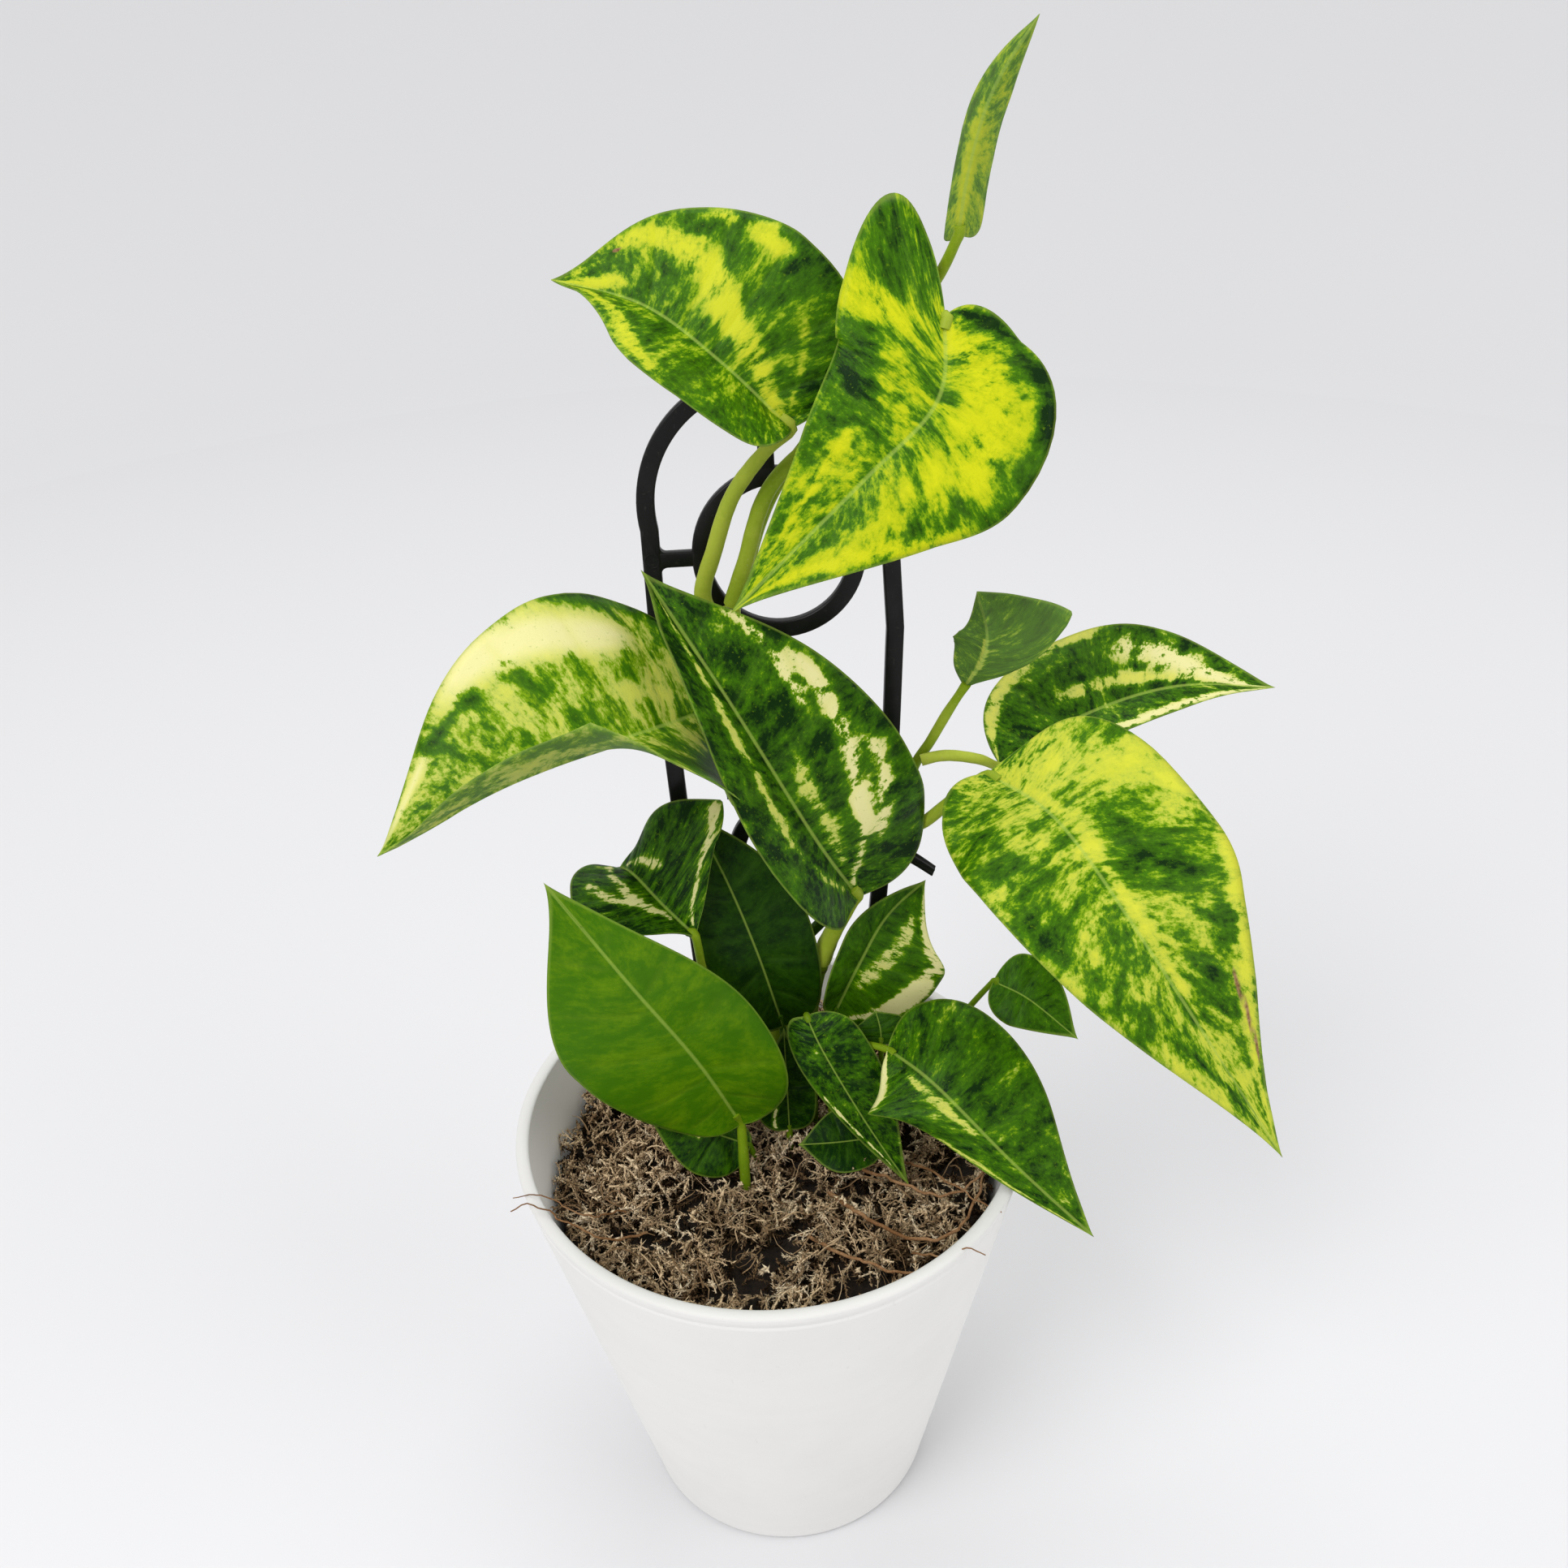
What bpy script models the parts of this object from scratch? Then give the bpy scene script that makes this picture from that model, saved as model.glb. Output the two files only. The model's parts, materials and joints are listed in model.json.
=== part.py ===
"""Potted pothos: a variegated vine tied to a small black trellis, in a white pot.

Metres, +Z up. The origin is the centre of the pot's flat base. The front of the
plant faces -Y. Every size below is in millimetres and is converted by MM. Everything
that stands in the pot is measured from the mean level of the moss: it hangs on one
empty at that level, so it rises and sinks with the pot.
"""
import math

import bmesh
import bpy
from mathutils import Vector, noise

MM = 0.001
CLEAR = 0.35            # air kept between two pieces that touch in the real thing

# Pot
POT_HEIGHT = 132.0
POT_RIM_RADIUS = 70.0
POT_BASE_RADIUS = 42.0
POT_WALL = 3.6
POT_FLOOR = 4.0
POT_EDGE = 2.5          # rounding of the outer edge of the base
POT_LIP = 0.7           # chamfer of the rim
POT_STEPS = 56

# What fills the pot
MOSS_DROP = 15.0        # from the rim down to the mean level of the moss
MOSS_DEPTH = 13.0
MOSS_LUMP = 4.8         # how far its lumps rise and fall
FILL_CLEAR = 0.5        # air all round the filling, inside the flats of the pot's wall
HOLE_CLEAR = 0.45       # room round each stem and prong in the moss and the soil

# Trellis: one flat moulding that leans back a little
TRELLIS_LEAN = 8.0      # degrees
TRELLIS_FOOT_Y = 12.0   # where its plane meets the level of the moss
BAR_WIDTH = 4.4
BAR_DEPTH = 3.0
BAR_CHAMFER = 0.55
ARCH_CENTRE = (8.5, 178.0)           # x, height
ARCH_RADIUS = 31.5                   # to the outer edge of the bar
UPPER_RING = (10.5, 165.5, 19.0)     # x, height, radius of the bar's middle
LOWER_RING = (7.5, 86.0, 11.8)
LEGS = ((9.0, 145.0, 0.0), (8.5, 102.0, 2.2), (7.2, 52.0, 6.1), (6.0, 11.0, 9.8))
#                       middle between the legs, height, how far each has come in from the arch
PRONG_DEPTH = 46.0      # how far the prongs go below the level of the moss
JOIN_STEP = 0.06        # each bar is this much thinner than the one it runs into

# Ties: a flat strap round a stem and what it is tied to
TIE_THICK = 0.9
TIE_HEIGHT = 2.6
TIE_SLACK = 0.9
TIE_LEFT_AT = 107.0     # heights
TIE_RIGHT_AT = 90.0

# Leaves and stems
LEAF_THICK = 0.6
RIB_THICK = 1.7         # midrib at the foot of the blade
LEAF_ROWS = 10
FOOT_SHARE = 0.45       # share of the veins that meet the margin below its widest place
LEAF_COLUMNS = 3
STALK_SIDES = 8
STALK_END = 3.0         # air between a stalk's end and the foot of its blade
SEGMENT = 7.0           # length of one ring of a stem

RIM = POT_RIM_RADIUS    # the blade that hangs over the rim, and the one behind it, are placed from it

# name: midrib from foot to tip, upper face, half widths (right, left),
# lobes behind the foot (right, left), widest place (right, left), fold as (at foot,
# from mid-leaf on) for right and for left, curl across (right, left); angles in degrees.
# Right is the side of ahead x up. A corner below 1 sharpens the widest place of a half.
# Steady turns the lines across the blade towards square with its chord, so that they
# don't meet on the inside of a sharp bend of the midrib.
LEAVES = {
    "leaf_top_spear": dict(
        rib=((52, 29, 240), (54, 27, 255), (58, 24, 270), (66, 20, 284)), face=(0.3, 0.9, 0.1),
        width=(8, 8), lobe=(0.04, 0.0), widest=(0.30, 0.30), fold=((25, 25), (25, 25)), curl=(75, 75)),
    "leaf_upper_left": dict(
        rib=((14, 18, 203), (-1, 24, 217), (-17, 32, 228), (-37, 38, 233)), face=(-0.2, -0.72, 0.66),
        width=(33, 25), lobe=(0.05, 0.02), widest=(0.40, 0.42), fold=((5, 5), (62, 55)), curl=(-8, -10)),
    "leaf_upper_right": dict(
        rib=((48, 19, 226), (45, 8, 211), (28, 0, 197), (-2, -5, 170)), face=(0.05, -0.82, 0.57),
        width=(25, 27), lobe=(0.27, 0.08), widest=(0.34, 0.46), fold=((10, 5), (8, 8)), curl=(-12, -20),
        steady=0.4),
    "leaf_left_cream": dict(
        rib=((-4, 15, 136), (-23, -1, 139), (-55, -15, 136), (-85, -22, 123)), face=(-0.1, -0.76, 0.64),
        width=(40, 26), lobe=(0.0, 0.0), widest=(0.42, 0.28), fold=((0, 5), (-62, 85)), curl=(-18, 20)),
    "leaf_centre": dict(
        rib=((26, 6, 82), (15, 0, 105), (-4, 1, 145), (-22, 16, 172)), face=(0.0, -0.85, 0.52),
        width=(31, 19), lobe=(0.03, 0.0), widest=(0.40, 0.45), fold=((2, 2), (48, 55)), curl=(-8, -8)),
    "leaf_right_front": dict(
        rib=((59, 11, 114), (74, -6, 109), (93, -32, 86), (125, -46, 33)), face=(0.2, -0.72, 0.66),
        width=(28, 35), lobe=(0.04, 0.0), widest=(0.40, 0.50), fold=((5, 5), (4, 4)), curl=(-12, -14)),
    "leaf_right_back": dict(
        rib=((64, 22, 109), (87, 31, 117), (112, 36, 121), (139, 39, 117)), face=(0.0, -0.48, 0.88),
        width=(9, 22), lobe=(0.0, 0.0), widest=(0.40, 0.42), fold=((5, 5), (12, 12)), curl=(-8, -10)),
    "leaf_small_twisted": dict(
        rib=((54, 20, 134), (58, 17, 143), (59, 18, 150), (57, 23, 158)), face=(0.2, 0.95, -0.1),
        width=(9, 21), lobe=(0.0, 0.0), widest=(0.50, 0.70), fold=((10, 10), (-5, -5)), curl=(10, -10),
        corner=(0.8, -0.25)),
    "leaf_low_left": dict(
        rib=((-8, -7, 18), (-18, -12, 46), (-33, -16, 77), (-50, -14, 107)), face=(0.0, -0.85, 0.52),
        width=(20, 26), lobe=(0.02, 0.0), widest=(0.36, 0.54), fold=((6, 6), (6, 6)), curl=(-14, -14)),
    "leaf_small_folded": dict(
        rib=((-16, -2, 79), (-24, 5, 84), (-31, 12, 89), (-35, 19, 87)), face=(-0.2, -0.3, 0.93),
        width=(30, 30), lobe=(0.0, 0.0), widest=(0.55, 0.50), fold=((32, 32), (45, 45)), curl=(-10, -10),
        corner=(0.3, 0.15)),
    "leaf_back_left": dict(
        rib=((5, 12, 35), (-1, 8, 65), (-8, 13, 86), (-16, 21, 102)), face=(0.1, -0.85, 0.50),
        width=(16, 14), lobe=(0.02, 0.0), widest=(0.40, 0.42), fold=((8, 8), (8, 8)), curl=(-10, -10)),
    "leaf_back_right": dict(
        rib=((19, 14, 36), (26, 13, 54), (34, 15.5, 68), (45, 21, 75)), face=(0.1, -0.85, 0.50),
        width=(22, 8), lobe=(0.03, 0.0), widest=(0.45, 0.45), fold=((10, 10), (30, 30)), curl=(-12, -12)),
    "leaf_low_centre": dict(
        rib=((11, 2, 47), (15, -4, 39), (25, -12, 21), (36, -20, 4)), face=(-0.2, -0.75, 0.6),
        width=(8, 12), lobe=(0.0, 0.0), widest=(0.30, 0.45), fold=((5, 5), (5, 5)), curl=(-25, -20)),
    "leaf_low_right": dict(
        rib=((RIM - 38, -5, 40), (RIM - 27, -18, 38), (RIM - 9, -32, 23), (RIM + 12, -39, 1)),
        face=(0.1, -0.7, 0.7),
        width=(17, 24), lobe=(0.0, 0.04), widest=(0.12, 0.36), fold=((-5, -20), (5, 5)), curl=(-10, -16),
        corner=(-0.1, 1)),
    "leaf_tiny_back": dict(
        rib=((RIM - 39, 2, 35), (RIM - 39, 4, 39), (RIM - 40, 7, 43)), face=(0.0, -0.8, 0.6),
        width=(8, 9), lobe=(0.0, 0.0), widest=(0.50, 0.50), fold=((5, 5), (5, 5)), curl=(-12, -12)),
    "leaf_under_left": dict(
        rib=((-6, -2, 5), (-18, -3, 13), (-35, -4, 25)), face=(0.1, -0.7, 0.7),
        width=(6, 12), lobe=(0.0, 0.0), widest=(0.45, 0.45), fold=((5, 5), (5, 5)), curl=(-10, -10)),
    "leaf_dark_centre": dict(
        rib=((5, 2, 6), (5, 5, 21), (5, 8, 38)), face=(0.0, -0.85, 0.52),
        width=(8, 9), lobe=(0.0, 0.0), widest=(0.35, 0.35), fold=((5, 5), (5, 5)), curl=(-12, -12)),
    "leaf_low_front": dict(
        rib=((30, -4, 7), (18, -6, 8), (7, -6, 8)), face=(0.0, -0.55, 0.83),
        width=(9, 9), lobe=(0.0, 0.0), widest=(0.45, 0.45), fold=((15, 15), (15, 15)), curl=(-10, -10)),
    "leaf_right_small": dict(
        rib=((62, 10, 48), (71, 5, 45), (83, -3, 37)), face=(0.0, -0.7, 0.7),
        width=(9, 11), lobe=(0.0, 0.0), widest=(0.42, 0.42), fold=((5, 5), (5, 5)), curl=(-10, -10)),
}

# Leaf colours as linear RGB, one flat colour for each blade
GREEN = (0.030, 0.130, 0.010)
DARK = (0.010, 0.055, 0.008)
LIME = (0.230, 0.360, 0.015)
CREAM = (0.500, 0.520, 0.180)


def mix(a, b, t):
    return a + (b - a) * t


def smooth(points, t):
    """Point and tangent at share t of a smooth curve through the points."""
    pts = [Vector(p) for p in points]
    pts = [pts[0] * 2 - pts[1]] + pts + [pts[-1] * 2 - pts[-2]]
    spans = len(pts) - 3
    at = min(max(t, 0.0), 1.0) * spans
    i = min(int(at), spans - 1)
    u = at - i
    a, b, c, d = pts[i:i + 4]
    place = 0.5 * ((2 * b) + (c - a) * u + (2 * a - 5 * b + 4 * c - d) * u * u
                   + (3 * b - a - 3 * c + d) * u ** 3)
    slope = 0.5 * ((c - a) + (2 * a - 5 * b + 4 * c - d) * 2 * u
                   + (3 * b - a - 3 * c + d) * 3 * u * u)
    return place, slope.normalized()


def bezier(a, b, c, d, t):
    s = 1 - t
    return tuple(s ** 3 * a[k] + 3 * s * s * t * b[k] + 3 * s * t * t * c[k] + t ** 3 * d[k]
                 for k in (0, 1))


def rib_length(leaf):
    pts = [Vector(p) for p in leaf["rib"]]
    return sum((b - a).length for a, b in zip(pts, pts[1:]))


def rib_frame(leaf, a):
    """Place, direction, side and upper normal at share a of the midrib."""
    place, ahead = smooth(leaf["rib"], a)
    if a < 0:
        place = place + ahead * (a * rib_length(leaf))
    face = Vector(leaf["face"])
    up = (face - ahead * face.dot(ahead)).normalized()
    chord = Vector(leaf["rib"][-1]) - Vector(leaf["rib"][0])
    turned = ahead.lerp(chord.normalized(), leaf.get("steady", 0.0))
    return place, ahead, turned.cross(up).normalized(), up


def margin(leaf, side, t):
    """Flat outline of one half: share along the midrib, share of the width."""
    lobe = leaf["lobe"][side]
    wide = leaf["widest"][side]
    bulge = leaf.get("corner", (1, 1))[side]
    rest = 1 - wide
    if t < FOOT_SHARE:
        near = (mix(wide / 3, -1.5 * lobe, bulge), 0.30)
        far = (mix(wide * 0.67, wide - 0.42 - 1.1 * lobe, bulge), mix(0.67, 1, bulge))
        return bezier((0, 0), near, far, (wide, 1), t / FOOT_SHARE)
    near = (wide + rest * mix(0.33, 0.42, bulge), mix(0.67, 1, bulge))
    far = (mix(wide + rest * 0.67, 0.90, bulge), mix(0.33, 0.10, bulge))
    return bezier((wide, 1), near, far, (1, 0), (t - FOOT_SHARE) / (1 - FOOT_SHARE))


def leaf_point(leaf, side, t, r):
    """Point on the upper face: t runs along the veins' feet, r out to the margin."""
    edge_a, edge_c = margin(leaf, side, t)
    foot = t ** 1.25
    a = mix(foot, edge_a, r ** 1.15)
    width = leaf["width"][side]
    c = edge_c * r * width
    place, _, across, up = rib_frame(leaf, a)
    low, high = leaf["fold"][side]
    start = math.radians(mix(low, high, min(max(2 * a, 0), 1)))
    bend = math.radians(leaf["curl"][side]) / width
    if abs(bend) < 1e-5:
        out, rise = c * math.cos(start), c * math.sin(start)
    else:
        out = (math.sin(start + bend * c) - math.sin(start)) / bend
        rise = (math.cos(start) - math.cos(start + bend * c)) / bend
    return place + across * (out if side == 0 else -out) + up * rise


def new_object(name, bm, colour, roughness, metallic=0.0, shade=True, origin=(0, 0, 0)):
    """Turns a bmesh in millimetres into a named object with a material of its own."""
    bmesh.ops.translate(bm, vec=-Vector(origin), verts=bm.verts)
    bmesh.ops.scale(bm, vec=(MM, MM, MM), verts=bm.verts)
    bmesh.ops.recalc_face_normals(bm, faces=bm.faces)
    for face in bm.faces:
        face.smooth = shade
    mesh = bpy.data.meshes.new(name)
    bm.to_mesh(mesh)
    bm.free()
    obj = bpy.data.objects.new(name, mesh)
    obj.location = Vector(origin) * MM
    bpy.context.collection.objects.link(obj)
    if colour is not None:
        mat = bpy.data.materials.new(name)
        mat.use_nodes = True
        shader = mat.node_tree.nodes["Principled BSDF"]
        shader.inputs["Base Color"].default_value = (*colour, 1.0)
        shader.inputs["Roughness"].default_value = roughness
        shader.inputs["Metallic"].default_value = metallic
        mesh.materials.append(mat)
    return obj


def boolean(obj, cutter, operation):
    """Applies an exact Boolean and removes the second object."""
    mod = obj.modifiers.new(operation, "BOOLEAN")
    mod.operation = operation
    mod.solver = "EXACT"
    mod.object = cutter
    bpy.context.view_layer.update()
    depsgraph = bpy.context.evaluated_depsgraph_get()
    mesh = bpy.data.meshes.new_from_object(obj.evaluated_get(depsgraph))
    obj.modifiers.remove(mod)
    mesh.name = obj.name
    obj.data = mesh
    bpy.data.objects.remove(cutter)


def build_leaf(name, leaf, colour):
    """A blade: an upper and a lower face, thicker along the midrib, closed all round."""
    bm = bmesh.new()
    rows = range(1, LEAF_ROWS)
    foot = bm.verts.new(leaf_point(leaf, 0, 0, 0))
    tip = bm.verts.new(leaf_point(leaf, 0, 1, 0))
    rib = [bm.verts.new(leaf_point(leaf, 0, i / LEAF_ROWS, 0)) for i in rows]
    halves = []
    for side in (0, 1):
        grid = [[rib[i - 1]] + [bm.verts.new(leaf_point(leaf, side, i / LEAF_ROWS, j / LEAF_COLUMNS))
                                for j in range(1, LEAF_COLUMNS + 1)] for i in rows]
        halves.append(grid)
        turn = 1 if side == 0 else -1
        for j in range(LEAF_COLUMNS):
            bm.faces.new([foot, grid[0][j], grid[0][j + 1]][::-turn])
            bm.faces.new([grid[-1][j], tip, grid[-1][j + 1]][::-turn])
            for low, high in zip(grid, grid[1:]):
                bm.faces.new([low[j], high[j], high[j + 1], low[j + 1]][::-turn])
    # both skins take the same diagonals, so a twisted part can't pass through itself
    bmesh.ops.triangulate(bm, faces=bm.faces)
    bm.normal_update()
    upper = list(bm.verts)
    share = {foot: 0.0, tip: 1.0}
    share.update({v: (i + 1) / LEAF_ROWS for i, v in enumerate(rib)})
    below = {}
    for v in upper:
        thick = mix(RIB_THICK, LEAF_THICK, share[v] ** 0.6) if v in share else LEAF_THICK
        below[v] = bm.verts.new(v.co - v.normal * thick)
    for face in list(bm.faces):
        bm.faces.new([below[v] for v in reversed(face.verts)])
    loop = [foot] + [row[-1] for row in halves[0]] + [tip] + [row[-1] for row in reversed(halves[1])]
    for a, b in zip(loop, loop[1:] + loop[:1]):
        bm.faces.new([a, b, below[b], below[a]])
    return new_object(name, bm, colour, 0.42, origin=leaf["rib"][0])


def tube(points, radii, sides=STALK_SIDES):
    """A closed bmesh tube along a smooth curve; radii are spread evenly along it."""
    count = len(points) - 1
    stations = [smooth(points, i / count) for i in range(count + 1)]
    bm = bmesh.new()
    side = stations[0][1].orthogonal().normalized()
    turns = [math.tau * s / sides for s in range(sides)]
    rings = []
    for i, (place, ahead) in enumerate(stations):
        side = (side - ahead * side.dot(ahead)).normalized()
        up = ahead.cross(side)
        at = i / count * (len(radii) - 1)
        k = min(int(at), len(radii) - 2)
        radius = mix(radii[k], radii[k + 1], at - k)
        rings.append([bm.verts.new(place + (side * math.cos(q) + up * math.sin(q)) * radius)
                      for q in turns])
    for low, high in zip(rings, rings[1:]):
        for s in range(sides):
            n = (s + 1) % sides
            bm.faces.new((low[s], low[n], high[n], high[s]))
    bm.faces.new(rings[0][::-1])
    bm.faces.new(rings[-1])
    return bm


def lathe(profile, steps):
    """A closed solid of revolution from a closed (radius, height) outline."""
    bm = bmesh.new()
    columns = []
    for i in range(steps):
        q = math.tau * i / steps
        columns.append([bm.verts.new((r * math.cos(q), r * math.sin(q), z)) if r > 0 else None
                        for r, z in profile])
    poles = {k: bm.verts.new((0, 0, z)) for k, (r, z) in enumerate(profile) if r <= 0}
    count = len(profile)
    for i in range(steps):
        here, there = columns[i], columns[(i + 1) % steps]
        for k in range(count):
            n = (k + 1) % count
            ring = [here[k] or poles[k], there[k] or poles[k],
                    there[n] or poles[n], here[n] or poles[n]]
            corners = [v for j, v in enumerate(ring) if v not in ring[:j]]
            if len(corners) > 2:
                bm.faces.new(corners)
    return bm


def pot_outer(z):
    return mix(POT_BASE_RADIUS, POT_RIM_RADIUS, z / POT_HEIGHT)


def pot_inner(z):
    return pot_outer(z) - POT_WALL


def build_pot():
    edge = [(pot_outer(POT_EDGE) - POT_EDGE * (1 - math.sin(q)), POT_EDGE * (1 - math.cos(q)))
            for q in (math.radians(d) for d in (0, 30, 60, 90))]
    rim = POT_HEIGHT - POT_LIP
    profile = [(0, 0), *edge, (pot_outer(rim), rim), (pot_outer(POT_HEIGHT) - POT_LIP, POT_HEIGHT),
               (pot_inner(POT_HEIGHT) + POT_LIP, POT_HEIGHT), (pot_inner(rim), rim),
               (pot_inner(POT_FLOOR), POT_FLOOR), (0, POT_FLOOR)]
    return new_object("pot", lathe(profile, POT_STEPS), (0.72, 0.71, 0.69), 0.45)


def moss_level():
    """Height of the moss above the base of the pot."""
    return POT_HEIGHT - MOSS_DROP


def fill_radius(z):
    """Radius of the filling at a height counted from the moss."""
    return pot_inner(z + moss_level()) - FILL_CLEAR


def moss_height(x, y):
    """Low lumps, with a hollow at the left and a heap at the front right."""
    lumps = noise.noise(Vector((x * 0.045, y * 0.045, 3.1))) * MOSS_LUMP
    hollow = -5.0 * math.exp(-((x + 48) ** 2 + (y - 8) ** 2) / 260)
    heap = 3.0 * math.exp(-((x - 34) ** 2 + (y + 34) ** 2) / 700)
    return lumps + hollow + heap


def plug(low, radius, height, rings, steps):
    """A closed round plug: a flat bottom at low, and a top that follows height(x, y)."""
    bm = bmesh.new()
    turns = [math.tau * i / steps for i in range(steps)]
    base = [bm.verts.new((fill_radius(low) * math.cos(q), fill_radius(low) * math.sin(q), low))
            for q in turns]
    crown = []
    for k in range(rings, 0, -1):
        spots = [(radius * k / rings * math.cos(q), radius * k / rings * math.sin(q)) for q in turns]
        crown.append([bm.verts.new((x, y, height(x, y))) for x, y in spots])
    middle = bm.verts.new((0, 0, height(0, 0)))
    bottom = bm.verts.new((0, 0, low))
    for i in range(steps):
        n = (i + 1) % steps
        bm.faces.new((base[i], base[n], crown[0][n], crown[0][i]))
        bm.faces.new((base[n], base[i], bottom))
        for outer, inner in zip(crown, crown[1:]):
            bm.faces.new((outer[i], outer[n], inner[n], inner[i]))
        bm.faces.new((crown[-1][i], crown[-1][n], middle))
    return bm


def build_soil():
    low = POT_FLOOR + CLEAR - moss_level()
    top = -MOSS_DEPTH
    bm = plug(low, fill_radius(top), lambda x, y: top, rings=1, steps=32)
    soil = new_object("soil", bm, (0.020, 0.013, 0.009), 0.95, shade=False)
    prong_holes(soil)
    return soil


def build_moss():
    low = CLEAR - MOSS_DEPTH
    bm = plug(low, fill_radius(low), moss_height, rings=5, steps=30)
    moss = new_object("moss", bm, (0.250, 0.170, 0.100), 0.95, shade=False)
    stem_holes(moss)
    prong_holes(moss)
    return moss


def trellis_point(x, z, depth=0.0):
    """A place on the leaning plane of the trellis; depth is out of its back."""
    lean = math.radians(TRELLIS_LEAN)
    return Vector((x, TRELLIS_FOOT_Y + z * math.tan(lean) + depth * math.cos(lean),
                   z - depth * math.sin(lean)))


def bar(path, closed=False, extra=0.0):
    """A flat bar with chamfered corners along a path of (x, z) in the trellis plane."""
    half_w, half_d = BAR_WIDTH / 2 + extra, BAR_DEPTH / 2 + extra
    slim_w, slim_d = half_w - BAR_CHAMFER, half_d - BAR_CHAMFER
    section = [(half_w, slim_d), (slim_w, half_d), (-slim_w, half_d), (-half_w, slim_d),
               (-half_w, -slim_d), (-slim_w, -half_d), (slim_w, -half_d), (half_w, -slim_d)]
    bm = bmesh.new()
    rings = []
    count = len(path)
    for i, (x, z) in enumerate(path):
        before = path[i - 1] if closed or i else path[0]
        after = path[(i + 1) % count] if closed or i < count - 1 else path[-1]
        run = Vector((after[0] - before[0], after[1] - before[1])).normalized()
        rings.append([bm.verts.new(trellis_point(x + run.y * w, z - run.x * w, d)) for w, d in section])
    pairs = list(zip(rings, rings[1:])) + ([(rings[-1], rings[0])] if closed else [])
    size = len(section)
    for low, high in pairs:
        for k in range(size):
            n = (k + 1) % size
            bm.faces.new((low[k], low[n], high[n], high[k]))
    if not closed:
        bm.faces.new(rings[0][::-1])
        bm.faces.new(rings[-1])
    return bm


def arc(x, z, radius, steps, start, end):
    """Points on an arc from start to end degrees, both included."""
    turns = [math.radians(mix(start, end, i / (steps - 1))) for i in range(steps)]
    return [(x + radius * math.cos(q), z + radius * math.sin(q)) for q in turns]


def leg_path(side):
    """One leg from the arch down into the soil; side is -1 at the left and 1 at the right."""
    spread = ARCH_RADIUS - BAR_WIDTH / 2
    points = [(middle + side * (spread - drawn_in), z) for middle, z, drawn_in in LEGS]
    (xa, za), (xb, zb) = points[-2:]
    points.append((mix(xa, xb, (-PRONG_DEPTH - za) / (zb - za)), -PRONG_DEPTH))
    flat = [(x, 0, z) for x, z in points]
    return [(p.x, p.z) for p in (smooth(flat, i / 12)[0] for i in range(13))]


def leg_x(side, z):
    """Where a leg's middle is at one height."""
    path = leg_path(side)
    for (xa, za), (xb, zb) in zip(path, path[1:]):
        if zb <= z <= za:
            return mix(xa, xb, (z - za) / (zb - za))
    return path[0][0]


def build_trellis():
    """The outer bar, two rings, the arms that hold them and a short bar up to the arch."""
    arch = arc(*ARCH_CENTRE, ARCH_RADIUS - BAR_WIDTH / 2, 25, 190, -10)
    outer = leg_path(-1)[::-1] + arch + leg_path(1)
    trellis = new_object("trellis", bar(outer), (0.012, 0.012, 0.013), 0.38, shade=False)
    pieces = []
    for (x, z, radius), steps in ((UPPER_RING, 32), (LOWER_RING, 28)):
        ring = arc(x, z, radius, steps + 1, 0, 360)[:-1]
        pieces.append(bar(ring, closed=True, extra=-JOIN_STEP))
        for side in (-1, 1):
            arm = [(leg_x(side, z), z), (x + side * radius, z)][::-side]
            pieces.append(bar(arm, extra=-2 * JOIN_STEP))
    x, z, radius = UPPER_RING
    top = ARCH_CENTRE[1] + ARCH_RADIUS - BAR_WIDTH / 2
    pieces.append(bar([(ARCH_CENTRE[0], z + radius - 3 * JOIN_STEP), (ARCH_CENTRE[0], top)],
                      extra=-3 * JOIN_STEP))
    for bm in pieces:
        boolean(trellis, new_object("tool", bm, None, 0, shade=False), "UNION")
    return trellis


# name: colour, points from the foot up, radii spread along them
VINES = {
    "vine_main": (LIME, ((2, 18, -10), (4, 19.5, 33), (8, 17.2, 73), (12, 16.8, 86), (10, 17.2, 94),
                         (4, 19, 104), (0, 22, 113), (-3, 25, 133), (-2, 28, 155)),
                  (2.6, 2.7, 2.8, 2.7, 2.5, 2.4)),
    "vine_old": (DARK, ((6, 31, -10), (5, 31, 33), (5, 31, 69), (3, 33, 93), (1, 36, 119)),
                 (2.3, 2.3, 2.2, 1.8)),
    "vine_right": (DARK, ((-2, 27, -10), (-1, 26.4, 23), (4, 26.2, 41), (12, 24, 55), (21, 22, 67),
                          (31, 20, 80), (35, 19, 90), (38, 19, 102), (40, 19, 113)),
                   (1.6, 1.5, 1.5, 1.6, 1.5)),
    "vine_front": (LIME, ((11, 16, -10), (12, 18, 13), (13, 18, 34), (16, 16, 54)),
                   (1.7, 1.7, 2.0)),
}

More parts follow.
